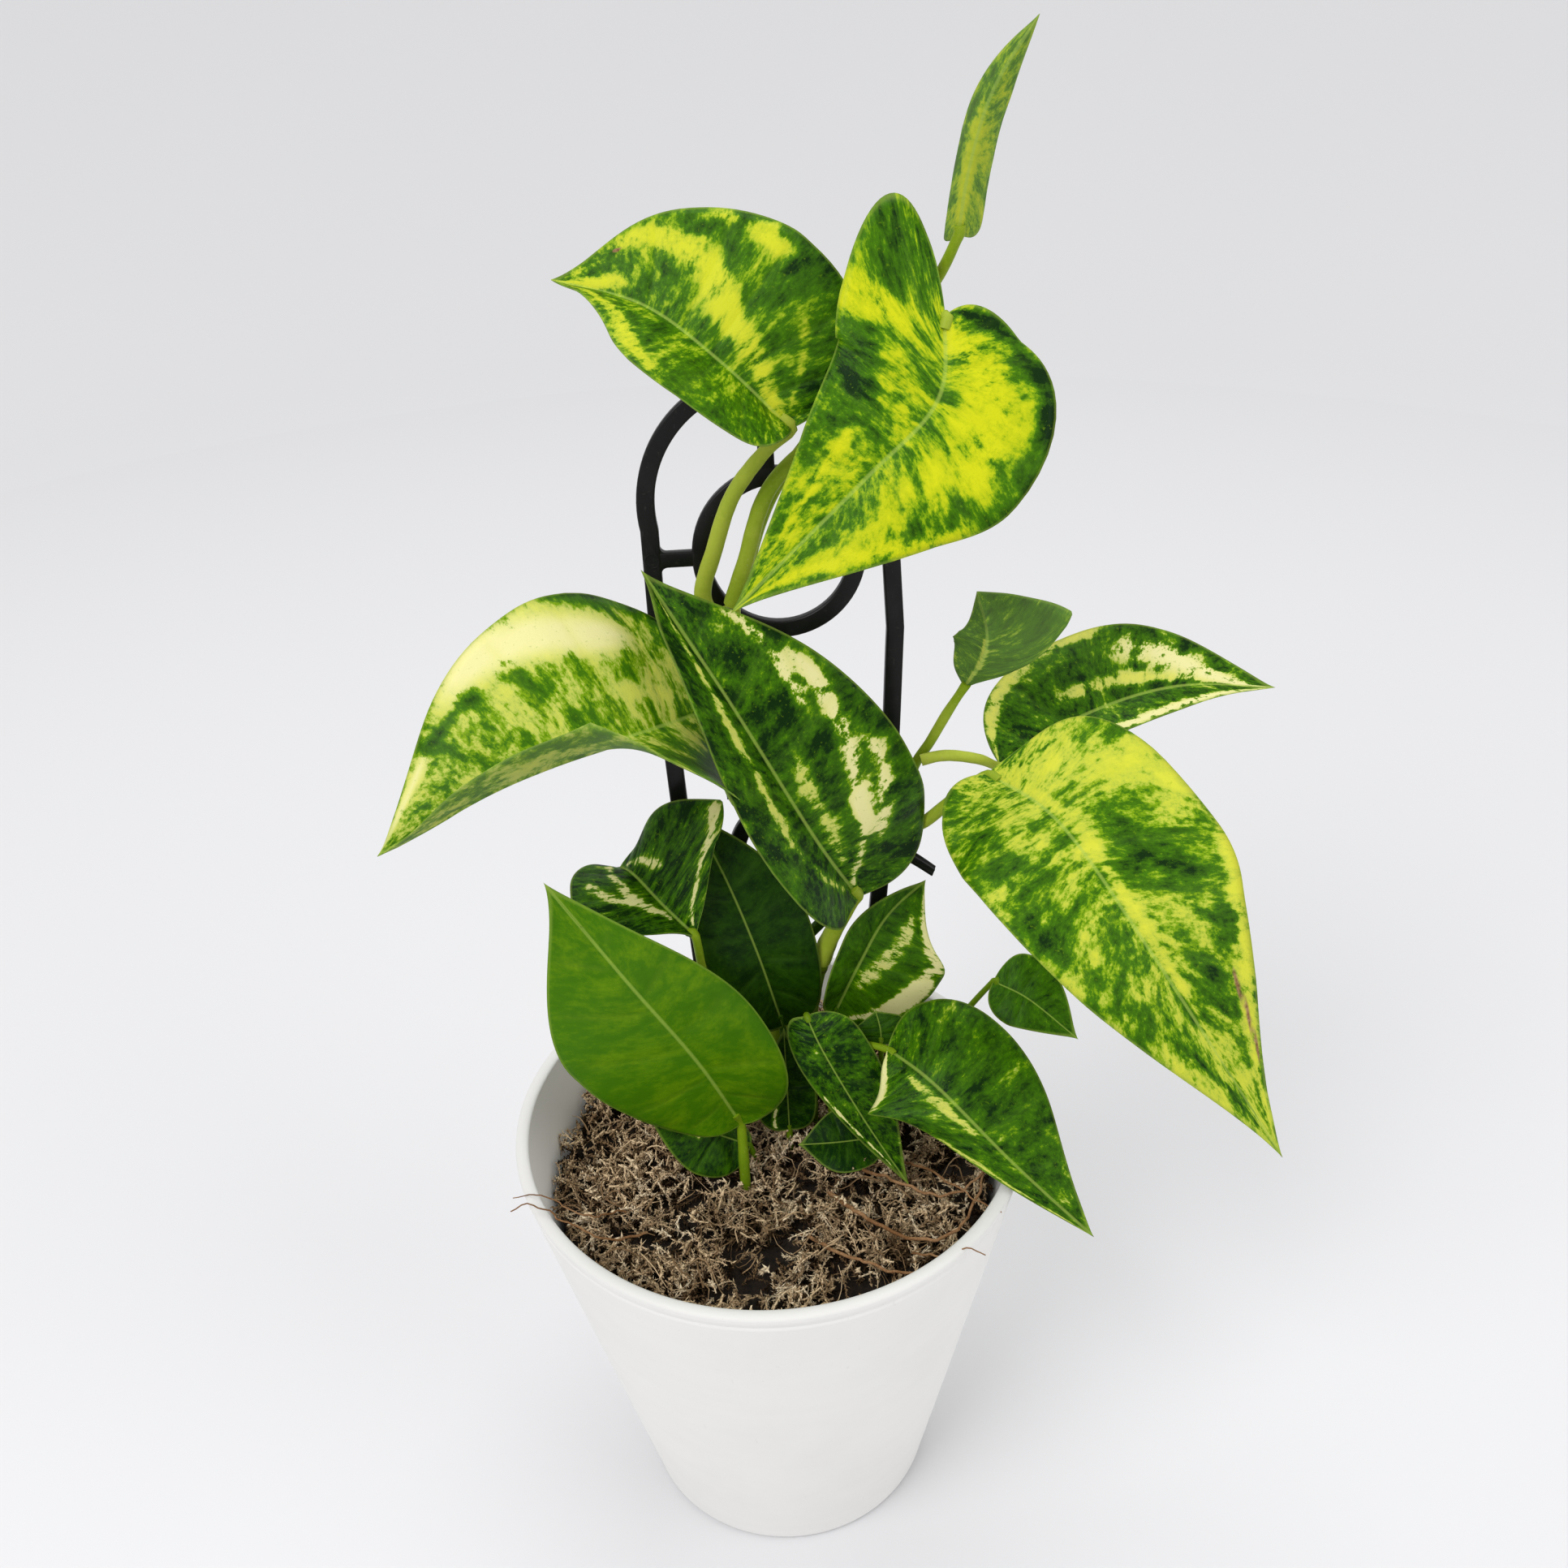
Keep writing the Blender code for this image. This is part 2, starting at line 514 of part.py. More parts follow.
# name: (leaf at its end, length left free at its start, points from the start up, radii)
STALKS = {
    "stalk_top_spear": (
        "leaf_top_spear", 0.0,
        ((1, 31.5, 159), (10, 32, 183), (30, 32, 209), (46, 31, 228)), (1.5, 1.5, 1.5)),
    "stalk_upper_left": (
        "leaf_upper_left", 6.6,
        ((-2.5, 27, 148), (-8.5, 27.5, 158), (-5, 27, 171), (0, 25, 185), (8, 21, 197)), (2.2, 2.0, 1.8)),
    "stalk_upper_right": (
        "leaf_upper_right", 1.1,
        ((-2, 28, 155), (2, 27, 167), (9, 27, 186), (25, 27, 201), (39, 25, 216)), (2.1, 1.9, 1.6)),
    "stalk_left_cream": ("leaf_left_cream", 4.4, ((-2.8, 24.5, 129), (-3, 19, 131)), (1.7, 1.6)),
    "stalk_centre": ("leaf_centre", 0.4, ((16, 16, 54), (19, 14, 64), (24, 10, 77)), (2.8, 2.4, 1.9)),
    "stalk_right_front": (
        "leaf_right_front", 4.2,
        ((36.5, 19, 93), (43, 15.5, 97), (49, 13, 104), (55, 12, 110)), (1.6, 1.6, 1.5)),
    "stalk_right_back": (
        "leaf_right_back", 3.4, ((40, 19, 113), (49, 19.5, 114.5), (58, 20, 112.5)), (1.5, 1.4)),
    "stalk_small_twisted": (
        "leaf_small_twisted", 4.8,
        ((38, 19.5, 98), (42, 23.5, 109), (46, 22.5, 117), (50, 21, 126)), (1.2, 1.3, 1.3)),
    "stalk_low_left": ("leaf_low_left", 0.0, ((-8, -11, -10), (-8, -10, 3), (-8, -7.5, 12)), (1.3, 1.5)),
    "stalk_small_folded": (
        "leaf_small_folded", 0.0, ((-9.5, 6, -10), (-12.5, 6, 33), (-15, 1, 63)), (1.5, 1.4)),
    "stalk_back_left": ("leaf_back_left", 0.0, ((3, 11, -10), (5, 12, 13)), (1.3, 1.2)),
    "stalk_back_right": ("leaf_back_right", 0.0, ((19, 16, -10), (18.5, 15.5, 13)), (1.2, 1.1)),
    "stalk_low_centre": (
        "leaf_low_centre", 0.0, ((12, 10, -10), (12.5, 10, 18), (12, 7, 39)), (1.2, 1.1)),
    "stalk_low_right": (
        "leaf_low_right", 0.0,
        ((17, 9, -10), (18, 7, 21), (RIM - 49, 4, 32), (RIM - 43, -1, 38)), (1.2, 1.2)),
    "stalk_tiny_back": ("leaf_tiny_back", 0.0, ((RIM - 40, 6, -10), (RIM - 39, 4, 13)), (0.9, 0.9)),
    "stalk_under_left": ("leaf_under_left", 0.0, ((-4, -2, -10), (-4.5, -2, -3)), (1.0, 1.0)),
    "stalk_dark_centre": ("leaf_dark_centre", 0.0, ((5, 1.5, -10), (5, 1.5, -3)), (1.0, 1.0)),
    "stalk_low_front": ("leaf_low_front", 0.0, ((32, -3, -10), (32, -3, -1)), (1.0, 1.0)),
    "stalk_right_small": (
        "leaf_right_small", 0.0, ((46, 18, -10), (50, 16, 18), (54, 14, 32)), (1.0, 1.0)),
}

LEAF_COLOURS = {
    "leaf_top_spear": LIME, "leaf_upper_right": LIME, "leaf_left_cream": CREAM, "leaf_right_front": LIME,
    "leaf_back_left": DARK, "leaf_dark_centre": DARK, "leaf_low_front": DARK, "leaf_under_left": DARK,
    "leaf_low_centre": DARK,
}


def route(points, start=0.0, end=0.0, count=16):
    """Evenly spaced points along a smooth curve, cut back (or carried on) at each end."""
    fine = [smooth(points, i / 200)[0] for i in range(201)]
    ahead = (fine[0] - fine[1]).normalized()
    if start < 0:
        fine.insert(0, fine[0] + ahead * -start)
        start = 0.0
    lengths = [0.0]
    for a, b in zip(fine, fine[1:]):
        lengths.append(lengths[-1] + (b - a).length)
    out = []
    k = 0
    for i in range(count + 1):
        want = mix(start, lengths[-1] - end, i / count)
        while k < len(fine) - 2 and lengths[k + 1] < want:
            k += 1
        share = (want - lengths[k]) / (lengths[k + 1] - lengths[k])
        out.append(fine[k].lerp(fine[k + 1], share))
    return out


def at_height(points, z):
    """Where a climbing stem first reaches a height."""
    fine = [smooth(points, i / 200)[0] for i in range(201)]
    for a, b in zip(fine, fine[1:]):
        if a.z <= z <= b.z:
            return a.lerp(b, (z - a.z) / (b.z - a.z))
    return fine[-1]


def ring_count(points):
    length = sum((Vector(b) - Vector(a)).length for a, b in zip(points, points[1:]))
    return max(3, round(length / SEGMENT))


def stalk_route(name):
    """A stalk's points, carried on to the underside of its blade's foot."""
    leaf, _, points, _ = STALKS[name]
    place, _, _, up = rib_frame(LEAVES[leaf], 0)
    return [*points, place - up * (RIB_THICK / 2)]


def build_stem(name, points, radii, colour, start=0.0, end=0.0):
    path = route(points, start, end, ring_count(points))
    return new_object(name, tube(path, radii), colour, 0.45, origin=path[0])


def stem_holes(obj):
    """A hole through the moss for every stem that enters it."""
    stems = [(points, radii) for _, points, radii in VINES.values()]
    stems += [(stalk_route(name), STALKS[name][3]) for name in STALKS]
    for points, radii in stems:
        if points[0][2] > 0:
            continue
        path = [p for p in route(points, -CLEAR, 0, 3 * ring_count(points)) if p.z < 9]
        fat = tube(path[::2], [max(radii) + HOLE_CLEAR] * 2)
        boolean(obj, new_object("tool", fat, None, 0), "DIFFERENCE")


def prong_holes(obj):
    """A hole through the filling for each prong of the trellis."""
    for side in (-1, 1):
        path = [(x, z) for x, z in leg_path(side) if z < 22]
        x, z = path[-1]
        path.append((x, z - HOLE_CLEAR))
        boolean(obj, new_object("tool", bar(path, extra=HOLE_CLEAR), None, 0), "DIFFERENCE")


def strap(name, first, second, inner, tails):
    """A closed band round two upright things, with loose tails placed from the first."""
    a, b = Vector(first), Vector(second)
    along = Vector((b.x - a.x, b.y - a.y, 0)).normalized()
    side = Vector((-along.y, along.x, 0))
    section = [(inner, -TIE_HEIGHT / 2), (inner + TIE_THICK, -TIE_HEIGHT / 2),
               (inner + TIE_THICK, TIE_HEIGHT / 2), (inner, TIE_HEIGHT / 2)]
    bm = bmesh.new()
    rings = []
    for centre, turn in ((b, -90), (a, 90)):
        for q in (math.radians(turn + 180 * i / 8) for i in range(9)):
            out = along * math.cos(q) + side * math.sin(q)
            rings.append([bm.verts.new(centre + out * r + Vector((0, 0, h))) for r, h in section])
    for low, high in zip(rings, rings[1:] + rings[:1]):
        for k in range(4):
            n = (k + 1) % 4
            bm.faces.new((low[k], low[n], high[n], high[k]))
    band = new_object(name, bm, (0.012, 0.012, 0.013), 0.5, shade=False)
    for start, end, width in tails:
        boolean(band, new_object("tool", tail(a, start, end, width), None, 0, shade=False), "UNION")
    return band


def tail(first, start, end, width):
    """A flat loose end of a strap, from start to end, both counted from first."""
    run = Vector(end) - Vector(start)
    ahead = run.normalized()
    across = Vector((0, -0.55, 0.84)).cross(ahead).normalized()
    out = ahead.cross(across)
    bm = bmesh.new()
    bmesh.ops.create_cube(bm, size=1.0)
    for v in bm.verts:
        v.co = (first + Vector(start) + run * (v.co.x + 0.5) + across * (v.co.y * width)
                + out * (v.co.z * (TIE_THICK - JOIN_STEP)))
    return bm


def build_ties():
    """One tie holds the main vine to the old one, the other holds a vine to the right leg."""
    main = VINES["vine_main"]
    first = at_height(main[1], TIE_LEFT_AT)
    second = at_height(VINES["vine_old"][1], TIE_LEFT_AT)
    left = strap("tie_left", first, second, max(main[2]) + CLEAR + TIE_SLACK,
                 [((-2.8, -2.1, -0.4), (-8.1, -3.7, 1.6), 2.0)])
    first = at_height(VINES["vine_right"][1], TIE_RIGHT_AT)
    second = trellis_point(leg_x(1, TIE_RIGHT_AT), TIE_RIGHT_AT)
    bar_round = math.hypot(BAR_WIDTH, BAR_DEPTH) / 2
    front = -(bar_round + CLEAR + TIE_THICK)
    right = strap("tie_right", first, second, bar_round + CLEAR + TIE_SLACK / 2,
                  [((1.1, front + 0.5, 0), (11.1, front - 1.3, -7), 3.2),
                   ((2.7, front + 1.5, 0), (6.7, front + 2.1, 1), 2.4)])
    return left, right


def build_plant():
    """All that stands in the pot, with heights counted from the moss."""
    pieces = [build_soil(), build_moss(), build_trellis(), *build_ties()]
    for name, (colour, points, radii) in VINES.items():
        pieces.append(build_stem(name, points, radii, colour))
    for name, (_, free, _, radii) in STALKS.items():
        pieces.append(build_stem(name, stalk_route(name), radii, LIME, free, STALK_END))
    for name, leaf in LEAVES.items():
        pieces.append(build_leaf(name, leaf, LEAF_COLOURS.get(name, GREEN)))
    level = bpy.data.objects.new("moss_level", None)
    bpy.context.collection.objects.link(level)
    level.location.z = moss_level() * MM
    for obj in pieces:
        obj.parent = level


def main():
    for obj in list(bpy.data.objects):
        bpy.data.objects.remove(obj)
    build_pot()
    build_plant()


main()
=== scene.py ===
"""Potted pothos: the finished look of the plant, its trellis and its pot.

Lengths in the tables are millimetres, and heights in them count from the moss, as in
the frame's own plant. Everything is turned into metres when its mesh is made.
"""

import json
import math
import random

import bmesh
import bpy
import numpy as np
from bpy.props import FloatProperty, FloatVectorProperty, IntProperty, PointerProperty
from mathutils import Matrix, Vector, noise

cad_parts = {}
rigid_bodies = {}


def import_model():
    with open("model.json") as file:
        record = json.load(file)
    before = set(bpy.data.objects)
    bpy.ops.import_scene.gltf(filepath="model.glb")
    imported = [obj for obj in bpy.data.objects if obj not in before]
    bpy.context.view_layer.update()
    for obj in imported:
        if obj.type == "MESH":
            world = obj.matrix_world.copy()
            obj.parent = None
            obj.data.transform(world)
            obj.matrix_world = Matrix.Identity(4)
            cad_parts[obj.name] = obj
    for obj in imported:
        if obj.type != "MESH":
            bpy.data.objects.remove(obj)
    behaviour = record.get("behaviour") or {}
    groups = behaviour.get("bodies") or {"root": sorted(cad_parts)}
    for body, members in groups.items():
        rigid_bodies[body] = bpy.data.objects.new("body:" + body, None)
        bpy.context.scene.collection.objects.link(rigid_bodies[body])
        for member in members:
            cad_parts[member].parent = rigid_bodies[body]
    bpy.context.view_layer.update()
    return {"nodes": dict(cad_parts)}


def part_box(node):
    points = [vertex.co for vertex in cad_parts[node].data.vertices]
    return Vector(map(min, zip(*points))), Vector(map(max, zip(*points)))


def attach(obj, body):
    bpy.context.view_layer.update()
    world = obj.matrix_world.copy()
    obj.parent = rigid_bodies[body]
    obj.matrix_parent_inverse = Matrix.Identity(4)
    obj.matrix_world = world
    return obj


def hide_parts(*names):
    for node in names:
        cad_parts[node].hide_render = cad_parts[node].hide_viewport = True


bl_info = {
    "name": "Potted Pothos",
    "version": (1, 0, 0),
    "blender": (4, 5, 0),
    "location": "View3D > Sidebar > Pothos",
    "description": "Builds a variegated vine on a small trellis in a white pot",
    "category": "Add Mesh",
}

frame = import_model()
MM = 0.001
BODY = "root"
POT_LOW, POT_HIGH = (Vector(corner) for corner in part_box("pot"))
RIM_HEIGHT = POT_HIGH.z / MM
RIM_RADIUS = POT_HIGH.x / MM
POT_BASE_RADIUS = 42.0
POT_WALL = 3.6
MOSS_BELOW_RIM = 15.0
MOSS_LEVEL = RIM_HEIGHT - MOSS_BELOW_RIM
MOSS_DEPTH = 13.0
SOIL_GAP = 0.35                         # between the soil and the moss's own ground
WALL_GAP = 0.5                          # between the moss and the inside of the pot
BED_LOW = SOIL_GAP - MOSS_DEPTH
BED_DROP = 4.6                          # the ground lies this far under the moss's lumps
FROM_MOSS = Matrix.Translation((0, 0, MOSS_LEVEL * MM)) @ Matrix.Diagonal((MM, MM, MM, 1))
SHARP_ANGLE = math.radians(38)          # edges of moulded pieces that are steeper stay sharp

# ---------------------------------------------------------------- shapes of the plant

RIM = RIM_RADIUS
FOOT_SHARE = 0.45                       # of a half's outline, up to its widest place

# name: midrib from foot to tip, upper face, half widths (right, left), lobes behind the
# foot, widest place, fold as (at foot, from mid-leaf on) for each half, curl across
LEAVES = {
    "top_spear": dict(
        rib=((52, 29, 240), (54, 27, 255), (58, 24, 270), (66, 20, 284)), face=(0.3, 0.9, 0.1),
        width=(8, 8), lobe=(0.04, 0.0), widest=(0.30, 0.30), fold=((25, 25), (25, 25)), curl=(75, 75)),
    "upper_left": dict(
        rib=((14, 18, 203), (-1, 24, 217), (-17, 32, 228), (-37, 38, 233)), face=(-0.2, -0.72, 0.66),
        width=(33, 25), lobe=(0.05, 0.02), widest=(0.40, 0.42), fold=((5, 5), (62, 55)), curl=(-8, -10)),
    "upper_right": dict(
        rib=((48, 19, 226), (45, 8, 211), (28, 0, 197), (-2, -5, 170)), face=(0.05, -0.82, 0.57),
        width=(25, 27), lobe=(0.27, 0.08), widest=(0.34, 0.46), fold=((10, 5), (8, 8)), curl=(-12, -20),
        steady=0.4),
    "left_cream": dict(
        rib=((-4, 15, 136), (-23, -1, 139), (-55, -15, 136), (-85, -22, 123)), face=(-0.1, -0.76, 0.64),
        width=(40, 26), lobe=(0.0, 0.0), widest=(0.42, 0.28), fold=((0, 5), (-62, 85)), curl=(-18, 20)),
    "centre": dict(
        rib=((26, 6, 82), (15, 0, 105), (-4, 1, 145), (-22, 16, 172)), face=(0.0, -0.85, 0.52),
        width=(31, 19), lobe=(0.03, 0.0), widest=(0.40, 0.45), fold=((2, 2), (48, 55)), curl=(-8, -8)),
    "right_front": dict(
        rib=((59, 11, 114), (74, -6, 109), (93, -32, 86), (125, -46, 33)), face=(0.2, -0.72, 0.66),
        width=(28, 35), lobe=(0.04, 0.0), widest=(0.40, 0.50), fold=((5, 5), (4, 4)), curl=(-12, -14)),
    "right_back": dict(
        rib=((64, 22, 109), (87, 31, 117), (112, 36, 121), (139, 39, 117)), face=(0.0, -0.48, 0.88),
        width=(9, 22), lobe=(0.0, 0.0), widest=(0.40, 0.42), fold=((5, 5), (12, 12)), curl=(-8, -10)),
    "small_twisted": dict(
        rib=((54, 20, 134), (58, 17, 143), (59, 18, 150), (57, 23, 158)), face=(0.2, 0.95, -0.1),
        width=(9, 21), lobe=(0.0, 0.0), widest=(0.50, 0.70), fold=((10, 10), (-5, -5)), curl=(10, -10),
        corner=(0.8, -0.25)),
    "low_left": dict(
        rib=((-8, -7, 18), (-18, -12, 46), (-33, -16, 77), (-50, -14, 107)), face=(0.0, -0.85, 0.52),
        width=(20, 26), lobe=(0.02, 0.0), widest=(0.36, 0.54), fold=((6, 6), (6, 6)), curl=(-14, -14)),
    "small_folded": dict(
        rib=((-16, -2, 79), (-24, 5, 84), (-31, 12, 89), (-35, 19, 87)), face=(-0.2, -0.3, 0.93),
        width=(30, 30), lobe=(0.0, 0.0), widest=(0.55, 0.50), fold=((32, 32), (45, 45)), curl=(-10, -10),
        corner=(0.3, 0.15)),
    "back_left": dict(
        rib=((5, 12, 35), (-1, 8, 65), (-8, 13, 86), (-16, 21, 102)), face=(0.1, -0.85, 0.50),
        width=(16, 14), lobe=(0.02, 0.0), widest=(0.40, 0.42), fold=((8, 8), (8, 8)), curl=(-10, -10)),
    "back_right": dict(
        rib=((19, 14, 36), (26, 13, 54), (34, 15.5, 68), (45, 21, 75)), face=(0.1, -0.85, 0.50),
        width=(22, 8), lobe=(0.03, 0.0), widest=(0.45, 0.45), fold=((10, 10), (30, 30)), curl=(-12, -12)),
    "low_centre": dict(
        rib=((11, 2, 47), (15, -4, 39), (25, -12, 21), (36, -20, 4)), face=(-0.2, -0.75, 0.6),
        width=(8, 12), lobe=(0.0, 0.0), widest=(0.30, 0.45), fold=((5, 5), (5, 5)), curl=(-25, -20)),
    "low_right": dict(
        rib=((RIM - 38, -5, 40), (RIM - 27, -18, 38), (RIM - 9, -32, 23), (RIM + 12, -39, 1)),
        face=(0.1, -0.7, 0.7), width=(17, 24), lobe=(0.0, 0.04), widest=(0.12, 0.36),
        fold=((-5, -20), (5, 5)), curl=(-10, -16), corner=(-0.1, 1)),
    "tiny_back": dict(
        rib=((RIM - 39, 2, 35), (RIM - 39, 4, 39), (RIM - 40, 7, 43)), face=(0.0, -0.8, 0.6),
        width=(8, 9), lobe=(0.0, 0.0), widest=(0.50, 0.50), fold=((5, 5), (5, 5)), curl=(-12, -12)),
    "under_left": dict(
        rib=((-6, -2, 5), (-18, -3, 13), (-35, -4, 25)), face=(0.1, -0.7, 0.7),
        width=(6, 12), lobe=(0.0, 0.0), widest=(0.45, 0.45), fold=((5, 5), (5, 5)), curl=(-10, -10)),
    "dark_centre": dict(
        rib=((5, 2, 6), (5, 5, 21), (5, 8, 38)), face=(0.0, -0.85, 0.52),
        width=(8, 9), lobe=(0.0, 0.0), widest=(0.35, 0.35), fold=((5, 5), (5, 5)), curl=(-12, -12)),
    "low_front": dict(
        rib=((30, -4, 7), (18, -6, 8), (7, -6, 8)), face=(0.0, -0.55, 0.83),
        width=(9, 9), lobe=(0.0, 0.0), widest=(0.45, 0.45), fold=((15, 15), (15, 15)), curl=(-10, -10)),
    "right_small": dict(
        rib=((62, 10, 48), (71, 5, 45), (83, -3, 37)), face=(0.0, -0.7, 0.7),
        width=(9, 11), lobe=(0.0, 0.0), widest=(0.42, 0.42), fold=((5, 5), (5, 5)), curl=(-10, -10)),
}

# name: (points from the foot up, radii spread along them, paleness, nodes as shares)
VINES = {
    "vine_main": (((2, 18, -10), (4, 19.5, 33), (8, 17.2, 73), (12, 16.8, 86), (10, 17.2, 94),
                   (4, 19, 104), (0, 22, 113), (-3, 25, 133), (-2, 28, 155)),
                  (2.6, 2.7, 2.8, 2.7, 2.5, 2.4), 0.85, (0.35, 0.80)),
    "vine_old": (((6, 31, -10), (5, 31, 33), (5, 31, 69), (3, 33, 93), (1, 36, 119)),
                 (2.3, 2.3, 2.2, 1.8), 0.15, (0.3, 0.62, 0.9)),
    "vine_right": (((-2, 27, -10), (-1, 26.4, 23), (4, 26.2, 41), (12, 24, 55), (21, 22, 67),
                    (31, 20, 80), (35, 19, 90), (38, 19, 102), (40, 19, 113)),
                   (1.6, 1.5, 1.5, 1.6, 1.5), 0.25, (0.4, 0.72, 0.9)),
    "vine_front": (((11, 16, -10), (12, 18, 13), (13, 18, 34), (16, 16, 54)),
                   (1.7, 1.7, 2.0), 0.6, (0.55, 0.97)),
}

# name: (length left free at its start, points from the start up, radii, paleness)
STALKS = {
    "top_spear": (0.0, ((1, 31.5, 159), (10, 32, 183), (30, 32, 209), (46, 31, 228)),
                  (1.5, 1.5, 1.5), 0.8),
    "upper_left": (6.6, ((-2.5, 27, 148), (-8.5, 27.5, 158), (-5, 27, 171), (0, 25, 185), (8, 21, 197)),
                   (2.2, 2.0, 1.8), 1.0),
    "upper_right": (1.1, ((-2, 28, 155), (2, 27, 167), (9, 27, 186), (25, 27, 201), (39, 25, 216)),
                    (2.1, 1.9, 1.6), 0.85),
    "left_cream": (4.4, ((-2.8, 24.5, 129), (-3, 19, 131)), (1.7, 1.6), 0.7),
    "centre": (0.4, ((16, 16, 54), (19, 14, 64), (24, 10, 77)), (2.8, 2.4, 1.9), 0.85),
    "right_front": (4.2, ((36.5, 19, 93), (43, 15.5, 97), (49, 13, 104), (55, 12, 110)),
                    (1.6, 1.6, 1.5), 0.8),
    "right_back": (3.4, ((40, 19, 113), (49, 19.5, 114.5), (58, 20, 112.5)), (1.5, 1.4), 1.0),
    "small_twisted": (4.8, ((38, 19.5, 98), (42, 23.5, 109), (46, 22.5, 117), (50, 21, 126)),
                      (1.2, 1.3, 1.3), 0.75),
    "low_left": (0.0, ((-8, -11, -10), (-8, -10, 3), (-8, -7.5, 12)), (1.3, 1.5), 0.6),
    "small_folded": (0.0, ((-9.5, 6, -10), (-12.5, 6, 33), (-15, 1, 63)), (1.5, 1.4), 0.75),
    "back_left": (0.0, ((3, 11, -10), (5, 12, 13)), (1.3, 1.2), 0.3),
    "back_right": (0.0, ((19, 16, -10), (18.5, 15.5, 13)), (1.2, 1.1), 0.4),
    "low_centre": (0.0, ((12, 10, -10), (12.5, 10, 18), (12, 7, 39)), (1.2, 1.1), 0.5),
    "low_right": (0.0, ((17, 9, -10), (18, 7, 21), (RIM - 49, 4, 32), (RIM - 43, -1, 38)),
                  (1.2, 1.2), 0.65),
    "tiny_back": (0.0, ((RIM - 40, 6, -10), (RIM - 39, 4, 13)), (0.9, 0.9), 0.5),
    "under_left": (0.0, ((-4, -2, -10), (-4.5, -2, -3)), (1.0, 1.0), 0.5),
    "dark_centre": (0.0, ((5, 1.5, -10), (5, 1.5, -3)), (1.0, 1.0), 0.5),
    "low_front": (0.0, ((32, -3, -10), (32, -3, -1)), (1.0, 1.0), 0.5),
    "right_small": (0.0, ((46, 18, -10), (50, 16, 18), (54, 14, 32)), (1.0, 1.0), 0.55),
}

